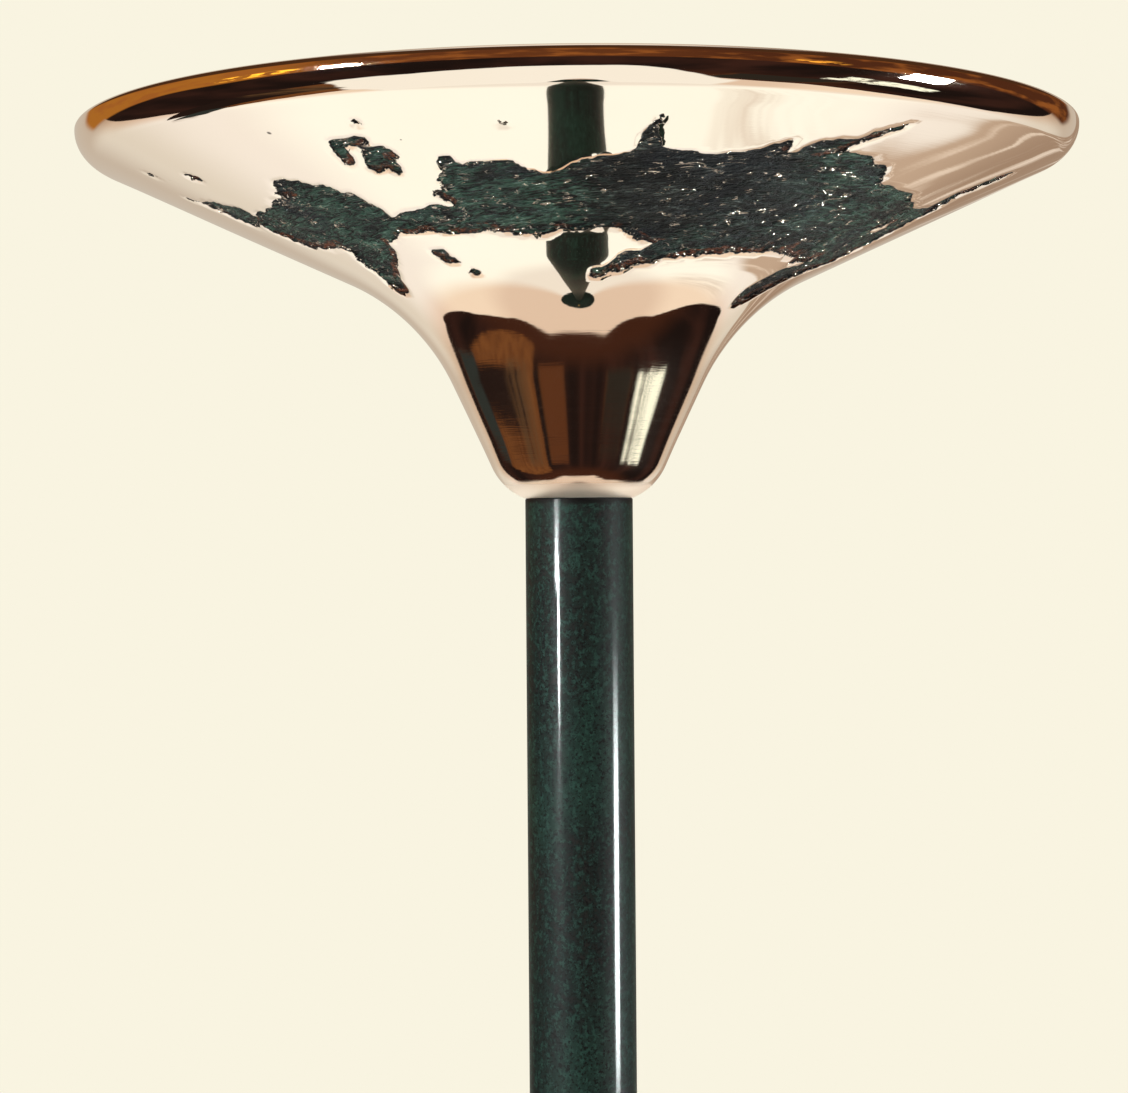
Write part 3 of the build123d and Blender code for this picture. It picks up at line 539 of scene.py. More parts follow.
def grown(name, tree, sizes, points, ways=()):
    """The plain mesh object that a geometry tree makes from points and directions."""
    seeds = bpy.data.meshes.new(name + "_points")
    seeds.from_pydata([tuple(p) for p in points], [], [])
    if ways:
        flat = [number for direction in ways for number in direction]
        seeds.attributes.new("way", "FLOAT_VECTOR", "POINT").data.foreach_set("vector", flat)
    piece = put_in(name, seeds)
    modifier = piece.modifiers.new("grow", "NODES")
    modifier.node_group = tree
    for item in tree.interface.items_tree:
        if item.name in sizes:
            modifier[item.identifier] = sizes[item.name]
    ready = piece.evaluated_get(bpy.context.evaluated_depsgraph_get())
    mesh = bpy.data.meshes.new_from_object(ready)
    piece.modifiers.clear()
    piece.data = mesh
    bpy.data.meshes.remove(seeds)
    mesh.materials.clear()
    mesh.materials.append(sizes["Finish"])
    mesh.name = name
    mesh.shade_smooth()
    mesh.set_sharp_from_angle(angle=math.radians(38))
    return piece


SCREW_SIZES = ("Head Radius", "Head Height", "Shank Radius", "Shank Length")
SLOT_SIZES = ("Slot Width", "Slot Share")
screw_tree, size = shape_tree("slotted_screws", *SCREW_SIZES, *SLOT_SIZES, Seed="Int")
head_sizes = {"Radius": size["Head Radius"], "Depth": size["Head Height"]}
head = node("GeometryNodeMeshCylinder", {"Vertices": 32, "Side Segments": 6, **head_sizes})
# the pan head gets narrower towards its face
where = node("GeometryNodeInputPosition", tree=screw_tree)
share = xyz(where)[2] / size["Head Height"] + 0.5
narrower = calc("POWER", share, 3) * -0.28 + 1
factor = node("CombineXYZ", {0: narrower, 1: narrower, 2: 1})
where = node("VectorMath", {0: where, 1: factor}, operation="MULTIPLY")
head = node("GeometryNodeSetPosition", {"Geometry": head, "Position": where})
head = lifted(head, size["Head Height"] * 0.5)
slot_depth = size["Head Height"] * size["Slot Share"] * 2
slot_size = {0: size["Head Radius"] * 3, 1: size["Slot Width"], 2: slot_depth}
slot = node("GeometryNodeMeshCube", {"Size": node("CombineXYZ", slot_size)})
cut = {"Mesh 1": head, "Mesh 2": lifted(slot, size["Head Height"])}
head = node("GeometryNodeMeshBoolean", cut, operation="DIFFERENCE", solver="EXACT")
shank_sizes = {"Radius": size["Shank Radius"], "Depth": size["Shank Length"]}
shank = node("GeometryNodeMeshCylinder", {"Vertices": 20, **shank_sizes})
screw = joined(head, lifted(shank, size["Shank Length"] * -0.5))
# each screw points its own way and has its slot at any turn
aim = {"Name": "way"}
aim = node("GeometryNodeInputNamedAttribute", aim, screw_tree, data_type="FLOAT_VECTOR")
aim = node("FunctionNodeAlignRotationToVector", {"Vector": aim}, axis="Z")
any_turn = node("FunctionNodeRandomValue", {"Seed": size["Seed"]}, data_type="FLOAT")[1]
spin = {"Axis": (0, 0, 1), "Angle": any_turn * math.pi}
spin = node("FunctionNodeAxisAngleToRotation", spin)
aim = {"Rotation": aim, "Rotate By": spin}
aim = node("FunctionNodeRotateRotation", aim, rotation_space="LOCAL")
screws = {"Points": size["Geometry"], "Instance": screw, "Rotation": aim}
close_tree(node("GeometryNodeInstanceOnPoints", screws), size["Finish"])


def fit_screws(cad_node, material, seats, ways, sizes, seed):
    """Screws on seats under their heads, in place of a CAD node; sizes are head radius, head
    height, shank radius and shank length."""
    values = dict(zip(SCREW_SIZES, sizes), Seed=seed, Finish=material)
    values |= dict(zip(SLOT_SIZES, (SLOT_WIDTH, SLOT_SHARE)))
    piece = grown("slotted_" + cad_node, screw_tree, values, seats, ways)
    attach(piece, "stand")
    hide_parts(cad_node)


black_steel, place = finish("blackened_screw_steel", Metallic=0.85)
cloud = grain(place, 900, 4, 0.6)
worn = ease(grain(place, 2600, 2), 0.58, 0.7)
ground = tint(cloud, rgb(38, 37, 38), rgb(66, 62, 60))
ground = tint(worn * 0.6, ground, rgb(130, 126, 122))
surface(black_steel, ground, cloud * 0.3 + 0.3, cloud, 0.00004)
plate_low, plate_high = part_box("plate_screws")
plate_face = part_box("base_plate")[0].z
circle = plate_high.x - PLATE_HEAD
seats = [
    (circle * math.cos(t), circle * math.sin(t), plate_face)
    for t in (math.radians(60 * i) for i in range(6))
]
sizes = (PLATE_HEAD, plate_face - plate_low.z, PLATE_SHANK, plate_high.z - plate_face)
fit_screws("plate_screws", black_steel, seats, [DOWN] * 6, sizes, seed=3)

# Feet.
# Four rubber discs moulded with a rounded edge and glued under the plate. Their
# faces pick up dust.
rubber, place = finish("moulded_rubber", Specular_IOR_Level=0.35)
pebble = grain(place, 1500, 3, 0.6)
dust = ease(grain(place, 160, 5, 0.65), 0.44, 0.68)
underside = ease(xyz(place)[2], 0.0022, 0.0004)
dust = dust * (underside * 0.5 + 0.25)
ground = tint(dust, tint(pebble, rgb(38, 38, 39), rgb(50, 49, 48)), rgb(118, 112, 102))
surface(rubber, ground, pebble * 0.2 + 0.72, pebble, 0.00008)
dress(rubber, "rubber_feet")

# Ballast.
# A grey iron disc, sand cast, that rests on the plate inside the base and keeps
# the tall lamp from tipping. It is left raw and has rusted a little.
raw_iron, place = finish("raw_cast_iron", Metallic=0.25)
sand = grain(place, 900, 5, 0.65)
cloud = grain(place, 26, 4, 0.6)
rusty = ease(cloud, 0.46, 0.62) * ease(sand, 0.42, 0.6)
ground = tint(sand, rgb(48, 48, 50), rgb(98, 97, 97))
ground = tint(rusty, ground, tint(sand, rgb(78, 42, 24), rgb(140, 80, 44)))
surface(raw_iron, ground, rusty * 0.2 + 0.66, sand, 0.0004)
dress(raw_iron, "ballast_disc")

# Foot switch.
# A push switch held down through the base by its ring nut, with a brass button
# that the foot presses. The button's face was turned and left satin.
nylon, place = finish("black_nylon", Specular_IOR_Level=0.45)
pebble = grain(place, 1900, 2)
flow_mark = grain(stretch(place, 1, 1, 5), 90, 3)
ground = tint(flow_mark, rgb(38, 38, 40), rgb(52, 51, 52))
surface(nylon, ground, flow_mark * 0.25 + 0.36, pebble, 0.00003)
dress(nylon, "switch_body", "cord_inlet_bush", "rod_end_bush")

WIRE_SIDES = 12
STEPS_A_TURN = 30
CLOSED_PITCH = 1.02
spring_wire, place = finish("spring_steel_wire", Metallic=1)
drawn = grain(stretch(place, 1, 1, 3), 2400, 3)
oil = grain(place, 320, 2)
ground = tint(oil, rgb(150, 148, 144), rgb(112, 100, 84))
surface(spring_wire, ground, drawn * 0.25 + 0.22, drawn, 0.00001)


def wind(cad_node, wire, turns, axis, joint):
    """A compression spring with closed ends in the box of a CAD node, along an axis. It stays on
    its seat at its full length; the joint's travel is read but not used."""
    low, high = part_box(cad_node)
    side, other = (axis + 1) % 3, (axis + 2) % 3
    radius = (high[side] - low[side]) / 2 - wire
    free = high[axis] - low[axis]
    closed = 2 * wire * CLOSED_PITCH
    top = free - 2 * wire
    steps = round((turns + 2) * STEPS_A_TURN)
    turn = np.linspace(0, turns + 2, steps + 1)
    level = np.interp(turn, [0, 1, turns + 1, turns + 2], [0, closed, top - closed, top])
    turn *= 2 * math.pi
    tilt = np.gradient(level, turn) / radius
    outward = np.stack([np.cos(turn), np.sin(turn), 0 * turn], 1)
    upward = np.stack([np.sin(turn) * tilt, -np.cos(turn) * tilt, 0 * turn + 1], 1)
    upward /= np.linalg.norm(upward, axis=1)[:, None]
    middle = outward * radius
    middle[:, 2] = level + wire
    ring = np.arange(WIRE_SIDES) * 2 * math.pi / WIRE_SIDES
    ring = np.stack([np.cos(ring), np.sin(ring)], 1) * wire
    local = middle[:, None] + outward[:, None] * ring[:, :1] + upward[:, None] * ring[:, 1:]
    points = np.zeros_like(local)
    points[..., side] = local[..., 0] + (low[side] + high[side]) / 2
    points[..., other] = local[..., 1] + (low[other] + high[other]) / 2
    points[..., axis] = local[..., 2] + low[axis]
    last = steps * WIRE_SIDES
    faces = [tuple(range(WIRE_SIDES)), tuple(range(last + WIRE_SIDES - 1, last - 1, -1))]
    for step in range(steps):
        for i in range(WIRE_SIDES):
            a, b = step * WIRE_SIDES + i, step * WIRE_SIDES + (i + 1) % WIRE_SIDES
            faces.append((b, a, a + WIRE_SIDES, b + WIRE_SIDES))
    mesh = bpy.data.meshes.new(cad_node + "_coil")
    mesh.from_pydata(points.reshape(-1, 3).tolist(), [], faces)
    mesh.shade_smooth()
    mesh.set_sharp_from_angle(angle=math.radians(50))
    mesh.materials.append(spring_wire)
    coil = put_in(cad_node + "_coil", mesh)
    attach(coil, "stand")
    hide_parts(cad_node)
    travel = next(j["range_m"][1] for j in frame["joints"] if j["name"] == joint)
    1 - travel / free
    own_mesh(coil)


wind("switch_spring", wire=0.00035, turns=4, axis=2, joint="foot_press")
wind("contact_spring", wire=0.00025, turns=5, axis=0, joint="contact_slide")

GROOVE_PITCH = 0.0011
satin_brass, place = finish("turned_satin_brass", Metallic=1)
button_low, button_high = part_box("foot_button")
middle = (button_low + button_high) / 2
from_axis = node("VectorMath", {0: place, 1: (middle.x, middle.y, 0)}, operation="SUBTRACT")
out = length(stretch(from_axis, 1, 1, 0))
wobble = grain(place, 700, 2)
groove = out * 2 * math.pi / GROOVE_PITCH
groove = calc("SINE", wobble * 0.8 + groove) * 0.5 + 0.5
on_face = ease(xyz(place)[2], button_high.z - 0.0016, button_high.z - 0.0008)
groove = groove * on_face
tarnish = grain(place, 150, 4, 0.6)
brass = tint(tarnish, rgb(226, 196, 128), rgb(176, 138, 78))
ground = tint((1 - groove) * on_face * 0.35, brass, rgb(104, 74, 36))
surface(satin_brass, ground, tarnish * 0.3 + 0.2, wobble * 0.1 + groove, 0.00012)
dress(satin_brass, "foot_button")

# Base wiring.
# A screwed block joins the mains to the switch and to the lead up the stem, and a
# tag under the stem's nut earths the metal. All leads are PVC sheathed.
LEAD_STRIPE = 0.009
block_plastic, place = finish("pale_block_plastic", Specular_IOR_Level=0.45)
cloud = grain(place, 240, 3)
yellowing = grain(place, 60, 2)
ground = tint(cloud, rgb(226, 222, 206), rgb(212, 206, 186))
ground = tint(yellowing * 0.5, ground, rgb(204, 192, 158))
surface(block_plastic, ground, cloud * 0.2 + 0.36, grain(place, 2000, 2), 0.00002)
dress(block_plastic, "base_terminal_block")

sheath, place = finish("black_pvc_sheath", Specular_IOR_Level=0.5)
ripple = grain(stretch(place, 1, 0.2, 0.2), 900, 3)
dust = grain(place, 120, 4, 0.6)
ground = tint(ease(dust, 0.48, 0.7) * 0.5, rgb(34, 34, 35), rgb(74, 70, 65))
surface(sheath, ground, dust * 0.3 + 0.34, ripple, 0.00005)
dress(sheath, "switch_lead", "stem_lead")

earth_sleeve, place = finish("green_yellow_sleeve", Roughness=0.42)
axes = xyz(place)
band = axes[2] * 2.2 + axes[1] + axes[0] * 2.2
band = calc("SINE", band * 2 * math.pi / LEAD_STRIPE)
band = ease(band, -0.06, 0.06)
cloud = grain(place, 400, 3)
green = tint(cloud, rgb(44, 118, 60), rgb(36, 102, 52))
yellow = tint(cloud, rgb(226, 198, 62), rgb(208, 178, 52))
surface(earth_sleeve, tint(band, green, yellow), cloud * 0.2 + 0.34, cloud, 0.00004)
dress(earth_sleeve, "earth_lead")

tinned, place = finish("tinned_contact_brass", Metallic=1)
dull_spots = grain(place, 520, 4, 0.6)
scratches = grain(stretch(place, 1, 12, 12), 380, 2)
bare_brass = ease(grain(place, 260, 3), 0.6, 0.68)
ground = tint(dull_spots, rgb(214, 212, 204), rgb(172, 168, 158))
ground = tint(bare_brass * 0.7, ground, rgb(196, 164, 96))
surface(tinned, ground, scratches * 0.3 + 0.2, scratches, 0.00002)
dress(tinned, "earth_tag", "fixed_contact", "sprung_terminal", "contact_plunger")

# Stem and its collar.
# A drawn bronze tube that stands in the hub, with a turned collar let into its top
# to carry the bowl. Both have the base's patina and lacquer.
dress(lacquered, "stem_tube", "stem_collar")

# Tie rod with its nuts and washers.
# Threaded steel through the whole stem pulls base, stem and bowl together. Like
# the lamp's other small steel parts it is bright zinc plated.
THREAD_PITCH = 0.0015
zinc, place = finish("bright_zinc_plate", Metallic=1)
spangle = node("TexVoronoi", {"Vector": place, "Scale": 420}, feature="F1")["Color"]
spangle = node("SeparateColor", {0: spangle})
cloud = grain(place, 130, 4, 0.6)
scratches = grain(stretch(place, 14, 1, 14), 300, 3)
ground = tint(cloud, rgb(206, 210, 214), rgb(176, 182, 190))
ground = tint(spangle * 0.3, ground, rgb(198, 192, 170))
surface(
    zinc,
    ground,
    scratches * 0.22 + spangle * 0.1 + 0.16,
    scratches * 0.7 + cloud * 0.3,
    0.00002,
)
dress(zinc, "foot_washer", "foot_nut", "head_washer", "head_nut")

threaded, place = finish("zinc_plated_thread", Metallic=1)
axes = xyz(place)
lead_in = calc("ARCTAN2", axes[1], axes[0]) / (2 * math.pi)
thread = axes[2] / THREAD_PITCH + lead_in
thread = calc("PINGPONG", thread, 0.5)
cloud = grain(place, 180, 4, 0.6)
ground = tint(ease(thread, 0, 0.2), rgb(96, 94, 90), rgb(190, 194, 198))
ground = tint(cloud * 0.4, ground, rgb(150, 150, 140))
surface(threaded, ground, cloud * 0.3 + 0.22, thread, 0.0009)
dress(threaded, "tie_rod")

# Bowl.
# One bronze casting, turned and polished outside and left satin inside. Areas of
# the rough cast skin stay below the polished face, with a blue-green patina.
bowl_radius = bowl_high.x
rim_z = bowl_high.z
neck_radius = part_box("stem_tube")[1].x
BOWL_WALL = 0.004
CUP_FLOOR = 0.008
RIM_ROUND = 0.0016
BRIM = 0.014
REGISTER = (0.01405, 0.003)
ROD_HOLE = 0.00505
AROUND = 540
AROUND_INSIDE = 180
POLISHED_OFF = 0.00034
SKIN_DEPTH = 0.00100
SKIN_RELIEF = 0.00090
FLOW_RADIUS = 0.055
FLOW_STRETCH = 2.3
bowl_corners = [
    (neck_radius, neck_z),
    (neck_radius + 0.0091, neck_z + 0.0037),
    (neck_radius + 0.0412, neck_z + 0.0719),
    (bowl_radius, rim_z - 0.0096),
    (bowl_radius, rim_z - RIM_ROUND),
]
bowl_rounds = (0.024, 0.084, 0.013)


def rounded(corners, radii, pace):
    """Points along a line with rounded corners, a pace apart on runs and on arcs."""
    corners = [np.array(c, float) for c in corners]
    line = [corners[0]]
    for before, corner, after, radius in zip(corners, corners[1:], corners[2:], radii):
        a, b = before - corner, after - corner
        run_a, run_b = np.linalg.norm(a), np.linalg.norm(b)
        a, b = a / run_a, b / run_b
        half = math.acos(float(np.clip(a @ b, -1, 1))) / 2
        cut = radius / math.tan(half)
        limit = 0.97 * min(run_a, run_b)
        if cut > limit:
            cut, radius = limit, limit * math.tan(half)
        middle = corner + (a + b) / np.linalg.norm(a + b) * radius / math.sin(half)
        start, end = corner + a * cut - middle, corner + b * cut - middle
        sweep = math.pi - 2 * half
        count = max(6, round(sweep * radius / pace[1]))
        arc = [
            middle
            + (math.sin((1 - t) * sweep) * start + math.sin(t * sweep) * end) / math.sin(sweep)
            for t in np.linspace(0, 1, count + 1)
        ]
        line += run(line[-1], arc[0], pace[0]) + arc[1:]
    return np.array(line + run(line[-1], corners[-1], pace[0]))


def run(start, end, pace):
    """Points on a straight run, without its first."""
    count = max(1, round(float(np.linalg.norm(end - start)) / pace))
    return [start + (end - start) * i / count for i in range(1, count + 1)]


def sideways(line):
    """The normals of a line, on its right as it is followed."""
    along = np.gradient(line, axis=0)
    along /= np.linalg.norm(along, axis=1)[:, None]
    return np.stack([along[:, 1], -along[:, 0]], 1)


def rim_edge(middle, first, last, steps):
    """A rounded edge of the rim around a radius, between two angles in degrees."""
    angles = np.radians(np.linspace(first, last, steps + 1))
    return (middle, rim_z - RIM_ROUND) + RIM_ROUND * np.stack([np.cos(angles), np.sin(angles)], 1)


coarse = rounded(bowl_corners, bowl_rounds, pace=(0.0021, 0.0018))
coarse = coarse[coarse[:, 1] <= rim_z - BRIM]
brim = rounded(bowl_corners, bowl_rounds, pace=(0.0021, 0.0007))
brim = brim[brim[:, 1] > rim_z - BRIM]
outside = np.concatenate([coarse, brim, rim_edge(bowl_radius - RIM_ROUND, 0, 90, 7)[1:]])
inside = rounded(bowl_corners, bowl_rounds, pace=(0.006, 0.004))
inside = inside - BOWL_WALL * sideways(inside)
inside = inside[inside[:, 1] > neck_z + CUP_FLOOR + 0.001][::-1]
inner_lip = rim_edge(inside[0][0] + RIM_ROUND, 90, 180, 4)[:-1]
above_floor = inside[-1][1] - neck_z - CUP_FLOOR
floor_edge = inside[-1] + (inside[-1] - inside[-2]) * above_floor / (inside[-2][1] - inside[-1][1])
cavity = [
    tuple(floor_edge),
    (ROD_HOLE, neck_z + CUP_FLOOR),
    (ROD_HOLE, neck_z + REGISTER[1]),
    (REGISTER[0], neck_z + REGISTER[1]),
    (REGISTER[0], neck_z),
]
inside = np.concatenate([inner_lip, inside, cavity])

# rough areas as tapered strips: for each end its turn from the front in degrees, its radius
# from the lamp's axis and its half-width in mm
SKIN = [
    (-75.5, 150, 2.5, -69, 134, 9), (-64, 118, 15, -44, 122, 20), (-48, 139, 7, -41, 136, 8),
    (-50, 104, 14, -59, 80, 4), (-31.6, 151, 1.2, -31.2, 161, 2),
    (-31, 162, 1.6, -26.5, 161.5, 2.4), (-28, 147, 3.5, -26, 154, 6),
    (-26.2, 142.5, 1.8, -26.6, 149, 4), (-17.2, 138, 4, -18.2, 147.5, 1.6),
    (-34, 114, 5, -24, 115, 9), (-24, 115, 9, -16, 118, 14), (-13, 121, 18, -10, 122, 21),
    (-12, 124, 24, -3, 121, 17), (-3, 122, 18, 8, 130, 25), (8, 130, 25, 20, 124, 26),
    (20, 122, 31, 36, 125, 35), (36, 125, 35, 46, 120, 26), (46, 120, 26, 58, 122, 19),
    (58, 122, 18, 68, 130, 9), (68, 130, 8, 74, 141, 2.5), (54, 104, 8, 68, 108, 12),
    (60, 96, 4, 70, 104, 8), (4.5, 81, 4.5, 14, 91, 7), (14, 91, 7, 28, 106, 16),
    (8, 154, 4, 8.6, 171, 1.8), (31, 155, 6, 36, 166, 2.4), (36, 166, 2.4, 40, 176, 1.1),
    (23.5, 151, 5, 26, 160, 2), (57, 72, 4.5, 64, 85, 6.5), (64, 85, 6.5, 73, 104, 9),
    (73, 104, 9, 74, 128, 9), (74, 128, 9, 73, 150, 5), (73, 150, 5, 77, 165, 2.2),
    (-62.8, 158, 2.6, -61.6, 156, 2), (-61, 150.5, 2, -60, 149.5, 1.8),
    (-72, 166, 1.3, -69, 160, 1.3), (-32.5, 94.5, 1.6, -31.5, 94, 1.5),
    (-31.8, 90, 2.2, -30, 89, 1.6), (-27.8, 82.5, 1.4, -27, 82, 1.3),
    (-26, 171, 1.2, -25.8, 170.6, 1.2), (-22.6, 161.6, 1.3, -22.2, 161, 1.3),
    (-9, 168, 1.2, -8.8, 167, 1.2), (112, 138, 9, 128, 124, 18), (128, 124, 18, 150, 132, 22),
    (150, 132, 22, 166, 118, 12), (140, 104, 12, 146, 82, 7), (152, 158, 4, 157, 168, 1.8),
    (178, 148, 7, 184, 142, 9), (196, 128, 8, 212, 120, 19), (212, 120, 19, 232, 130, 20),
    (232, 130, 20, 250, 146, 7), (206, 100, 10, 200, 78, 5), (222, 152, 5, 226, 162, 2),
]


def on_bowl(degrees, radius_mm):
    """A point of the polished face, at a turn from the front and a radius."""
    height = np.interp(radius_mm / 1000, outside[:, 0], outside[:, 1])
    around = math.radians(degrees)
    radius = radius_mm / 1000
    return np.array([radius * math.sin(around), -radius * math.cos(around), height])


def revolved(line, count):
    """A line's points or directions, carried around the bowl's axis in a number of steps."""
    turns = np.arange(count) * 2 * math.pi / count
    radius, height = line[:, 0:1], np.repeat(line[:, 1:2], count, 1)
    return np.stack([radius * np.sin(turns), -radius * np.cos(turns), height], 2)


rows = len(outside)
shape = revolved(outside, AROUND)
facing = revolved(sideways(outside), AROUND)
field = np.full((rows, AROUND), -1.0)
for degrees_a, radius_a, half_a, degrees_b, radius_b, half_b in SKIN:
    a, b = on_bowl(degrees_a, radius_a), on_bowl(degrees_b, radius_b)
    along = b - a
    share = np.clip(((shape - a) @ along) / (along @ along), 0, 1)
    gap = np.linalg.norm(shape - a - share[..., None] * along, axis=2)
    field = np.maximum(field, (half_a + (half_b - half_a) * share) / 1000 - gap)


def wavy(points, wavelength, seed):
    """Smooth noise from -1 to 1 at each point."""
    shift = Vector((seed * 17.3, seed * 5.1, seed * 9.7))
    flat = points.reshape(-1, 3) / wavelength
    return np.array([noise.noise(Vector(p) + shift) for p in flat]).reshape(points.shape[:-1])


def ramp(values, zero, one):
    """Each value as a share of the way from zero to one, kept from 0 to 1."""
    return np.clip((values - zero) / (one - zero), 0, 1)


# frayed outlines, sunken and crumpled skin, and the polished face's faint waves
near = field > -0.022
rough_edge = np.zeros_like(field)
for wavelength, height, seed in ((0.034, 0.0042, 1), (0.015, 0.0046, 2), (0.007, 0.003, 3)):
    rough_edge[near] += height * wavy(shape[near], wavelength, seed)
field = field + rough_edge * np.clip(field / 0.004 + 1, 0.25, 1)
sink = ramp(field, -0.0006, 0.001)
sink = sink * sink * (3 - 2 * sink)
crumple = np.zeros_like(field)
inner = sink > 0
flow = shape * (1, 1, FLOW_STRETCH)
flow[..., :2] *= FLOW_RADIUS / np.linalg.norm(shape[..., :2], axis=2)[..., None]
crumple[inner] = 0.55 * wavy(flow[inner], 0.008, 4) + 0.35 * wavy(shape[inner], 0.005, 5)
polish = wavy(shape, 0.075, 6) * 0.00022 + wavy(shape, 0.04, 7) * 0.00007
heights = outside[:, 1]
calm = ramp(heights, neck_z, neck_z + 0.02) * ramp(heights, rim_z - 0.004, rim_z - 0.016)
degrees_round = np.degrees(np.arctan2(shape[..., 0], -shape[..., 1]))
ring_mm = np.repeat(outside[:, 0:1] * 1000, AROUND, 1)
loose = ramp(degrees_round, 2, 14) * ramp(degrees_round, 100, 70) * ramp(ring_mm, 62, 74)
swell = loose * (wavy(shape, 0.046, 8) * 0.0002 + wavy(shape, 0.027, 9) * 0.00006)
middle_part = ramp(np.abs(degrees_round), 30, 16) * ramp(ring_mm, 62, 68) * ramp(ring_mm, 100, 90)
swell = swell + middle_part * wavy(shape, 0.019, 11) * 0.000085
funnel_part = ramp(outside[:, 0], 0.066, 0.054)[:, None]
swell = swell + funnel_part * wavy(shape, 0.02, 10) * 0.000075
depth = calm[:, None] * (polish + swell - POLISHED_OFF)
depth = depth - sink * (SKIN_DEPTH + SKIN_RELIEF * crumple)
depth = np.minimum(depth, 0)
shape = shape + facing * depth[..., None]
lean = np.gradient(field, axis=0) / np.gradient(outside[:, 1])[:, None]
lean = np.clip(lean * 0.6 + 0.5, 0, 1)

hollow = revolved(inside, AROUND_INSIDE)


def ring_faces(first, second, count):
    """Faces between a ring of points and the next ring, of as many points."""
    ring = [(i, (i + 1) % count) for i in range(count)]
    return [(first + i, first + j, second + j, second + i) for i, j in ring]


def joint_faces(wide, narrow, count, flip=False):
    """Faces between a ring with three times as many points and a ring of count points."""
    found = []
    for i in range(count):
        a = [wide + (3 * i + k) % (3 * count) for k in range(4)]
        near_end, far_end = narrow + i, narrow + (i + 1) % count
        found += [
            (a[0], a[1], near_end),
            (a[1], a[2], far_end),
            (a[2], a[3], far_end),
            (a[1], far_end, near_end),
        ]
    return [face[::-1] for face in found] if flip else found


first_inside = rows * AROUND
last_inside = first_inside + (len(inside) - 1) * AROUND_INSIDE
faces = []
for row in range(rows - 1):
    faces += ring_faces(row * AROUND, (row + 1) * AROUND, AROUND)
faces += joint_faces((rows - 1) * AROUND, first_inside, AROUND_INSIDE)
for row in range(len(inside) - 1):
    start = first_inside + row * AROUND_INSIDE
    faces += ring_faces(start, start + AROUND_INSIDE, AROUND_INSIDE)
faces += joint_faces(0, last_inside, AROUND_INSIDE, flip=True)

bowl_mesh = bpy.data.meshes.new("bronze_bowl")
bowl_points = np.concatenate([shape.reshape(-1, 3), hollow.reshape(-1, 3)])
bowl_mesh.from_pydata(bowl_points.tolist(), [], faces)
hidden = len(inside) * AROUND_INSIDE
for name, values, rest in (
    ("skin", field * 1000, -30),
    ("lower_edge", lean, 0),
    ("hollows", crumple, 0),
    ("satin", field * 0, 1),
):
    data = np.concatenate([values.ravel(), np.full(hidden, rest)]).astype(np.float32)
    bowl_mesh.attributes.new(name, "FLOAT", "POINT").data.foreach_set("value", data)
bowl_mesh.shade_smooth()
bowl_mesh.set_sharp_from_angle(angle=math.radians(40))
bronze_bowl = put_in("bronze_bowl", bowl_mesh)

bronze, place = finish("bronze_and_cast_skin", Specular_IOR_Level=0.07)


def stored(name):
    """A value kept at the mesh's points."""
    return node("Attribute", tree=place.tree, attribute_name=name)["Fac"]


skin = stored("skin")
lower = stored("lower_edge")
satin = stored("satin")
fray = grain(place, 330, 3, 0.6) - 0.5
depth_mm = fray * 3.4 + skin
rough_part = ease(depth_mm, -0.12, 0.12)
# polished bronze, with faint hairlines, and satin inside the bowl
warm = grain(place, 14, 2)
polished = tint(warm, (0.93, 0.79, 0.665, 1), (0.9, 0.755, 0.62, 1))
hair = grain(stretch(place, 60, 60, 2600), 1, 2)
funnel_side = ease(xyz(place)[2], neck_z + 0.068, neck_z + 0.055)
cells = node("TexVoronoi", {"Vector": place, "Scale": 58}, feature="F1")
chosen = ease(node("SeparateColor", {0: cells["Color"]}), 0.86, 0.88)
pit = ease(cells["Distance"], 0.075, 0.045) * chosen
polished = tint(pit * 0.9, polished, (0.06, 0.035, 0.025, 1))
cloud = grain(place, 22, 4)
dull = tint(cloud, (0.8, 0.62, 0.45, 1), (0.62, 0.44, 0.29, 1))
metal = tint(satin, polished, dull)
metal_rough = hair * (funnel_side * 0.09 + 0.02) + 0.022
worn_neck = ease(xyz(place)[2], neck_z + 0.0072, neck_z + 0.0036)
metal_rough = worn_neck * 0.34 + metal_rough
satin_rough = cloud * 0.16 + 0.26
metal_rough = blend(satin, metal_rough, satin_rough)
# the rough skin: dark blue-green over black with painted shade in its creases and a painted
# highlight on its crests, copper at its lower edges partly painted light, a painted-shade line
# along its edges, bright nicks
outward = node("VectorMath", {0: stretch(place, 1, 1, 0)}, operation="NORMALIZE")
flow_place = stretch(outward, FLOW_RADIUS, FLOW_RADIUS, 0)
flow_place = {0: flow_place, 1: stretch(place, 0, 0, FLOW_STRETCH)}
flow_place = node("VectorMath", flow_place, operation="ADD")
hollows = stored("hollows")
slant = {"Vector": flow_place, "Axis": (0.3, 0.9, 0.1), "Angle": 0.5}
slant = node("VectorRotate", slant, rotation_type="AXIS_ANGLE")
mottle = grain(flow_place, 120, 4, 0.6, 0.4)
fine = grain(place, 560, 4, 0.7)
strands = grain(stretch(slant, 1, 1, 1.9), 300, 3, 0.62, 1.5)
relief = hollows * -0.22 + strands
relief = (mottle - 0.5) * 0.45 + relief
region = grain(place, 9, 2, 0.4)
region = ease(abs(xyz(place)[0] - 0.045), 0.02, 0.075) * 0.3 + region
leaf = tint(ease(region, 0.42, 0.72), rgb(30, 36, 38), rgb(48, 78, 68))
# black where the relief is low: partly the skin's dark oxide, partly painted shade in the creases
green = tint(ease(relief, 0.43, 0.62), rgb(4, 6, 7), leaf)
# lighter blue-grey where the relief is high: a painted highlight on the crests
crest_highlight = tint(ease(region, 0.42, 0.72), rgb(92, 102, 100), rgb(100, 132, 120))
green = tint(ease(relief, 0.62, 0.76), green, crest_highlight)
blue = ease(grain(place, 45, 2), 0.5, 0.66)
green = tint(blue * 0.35, green, rgb(26, 33, 44))
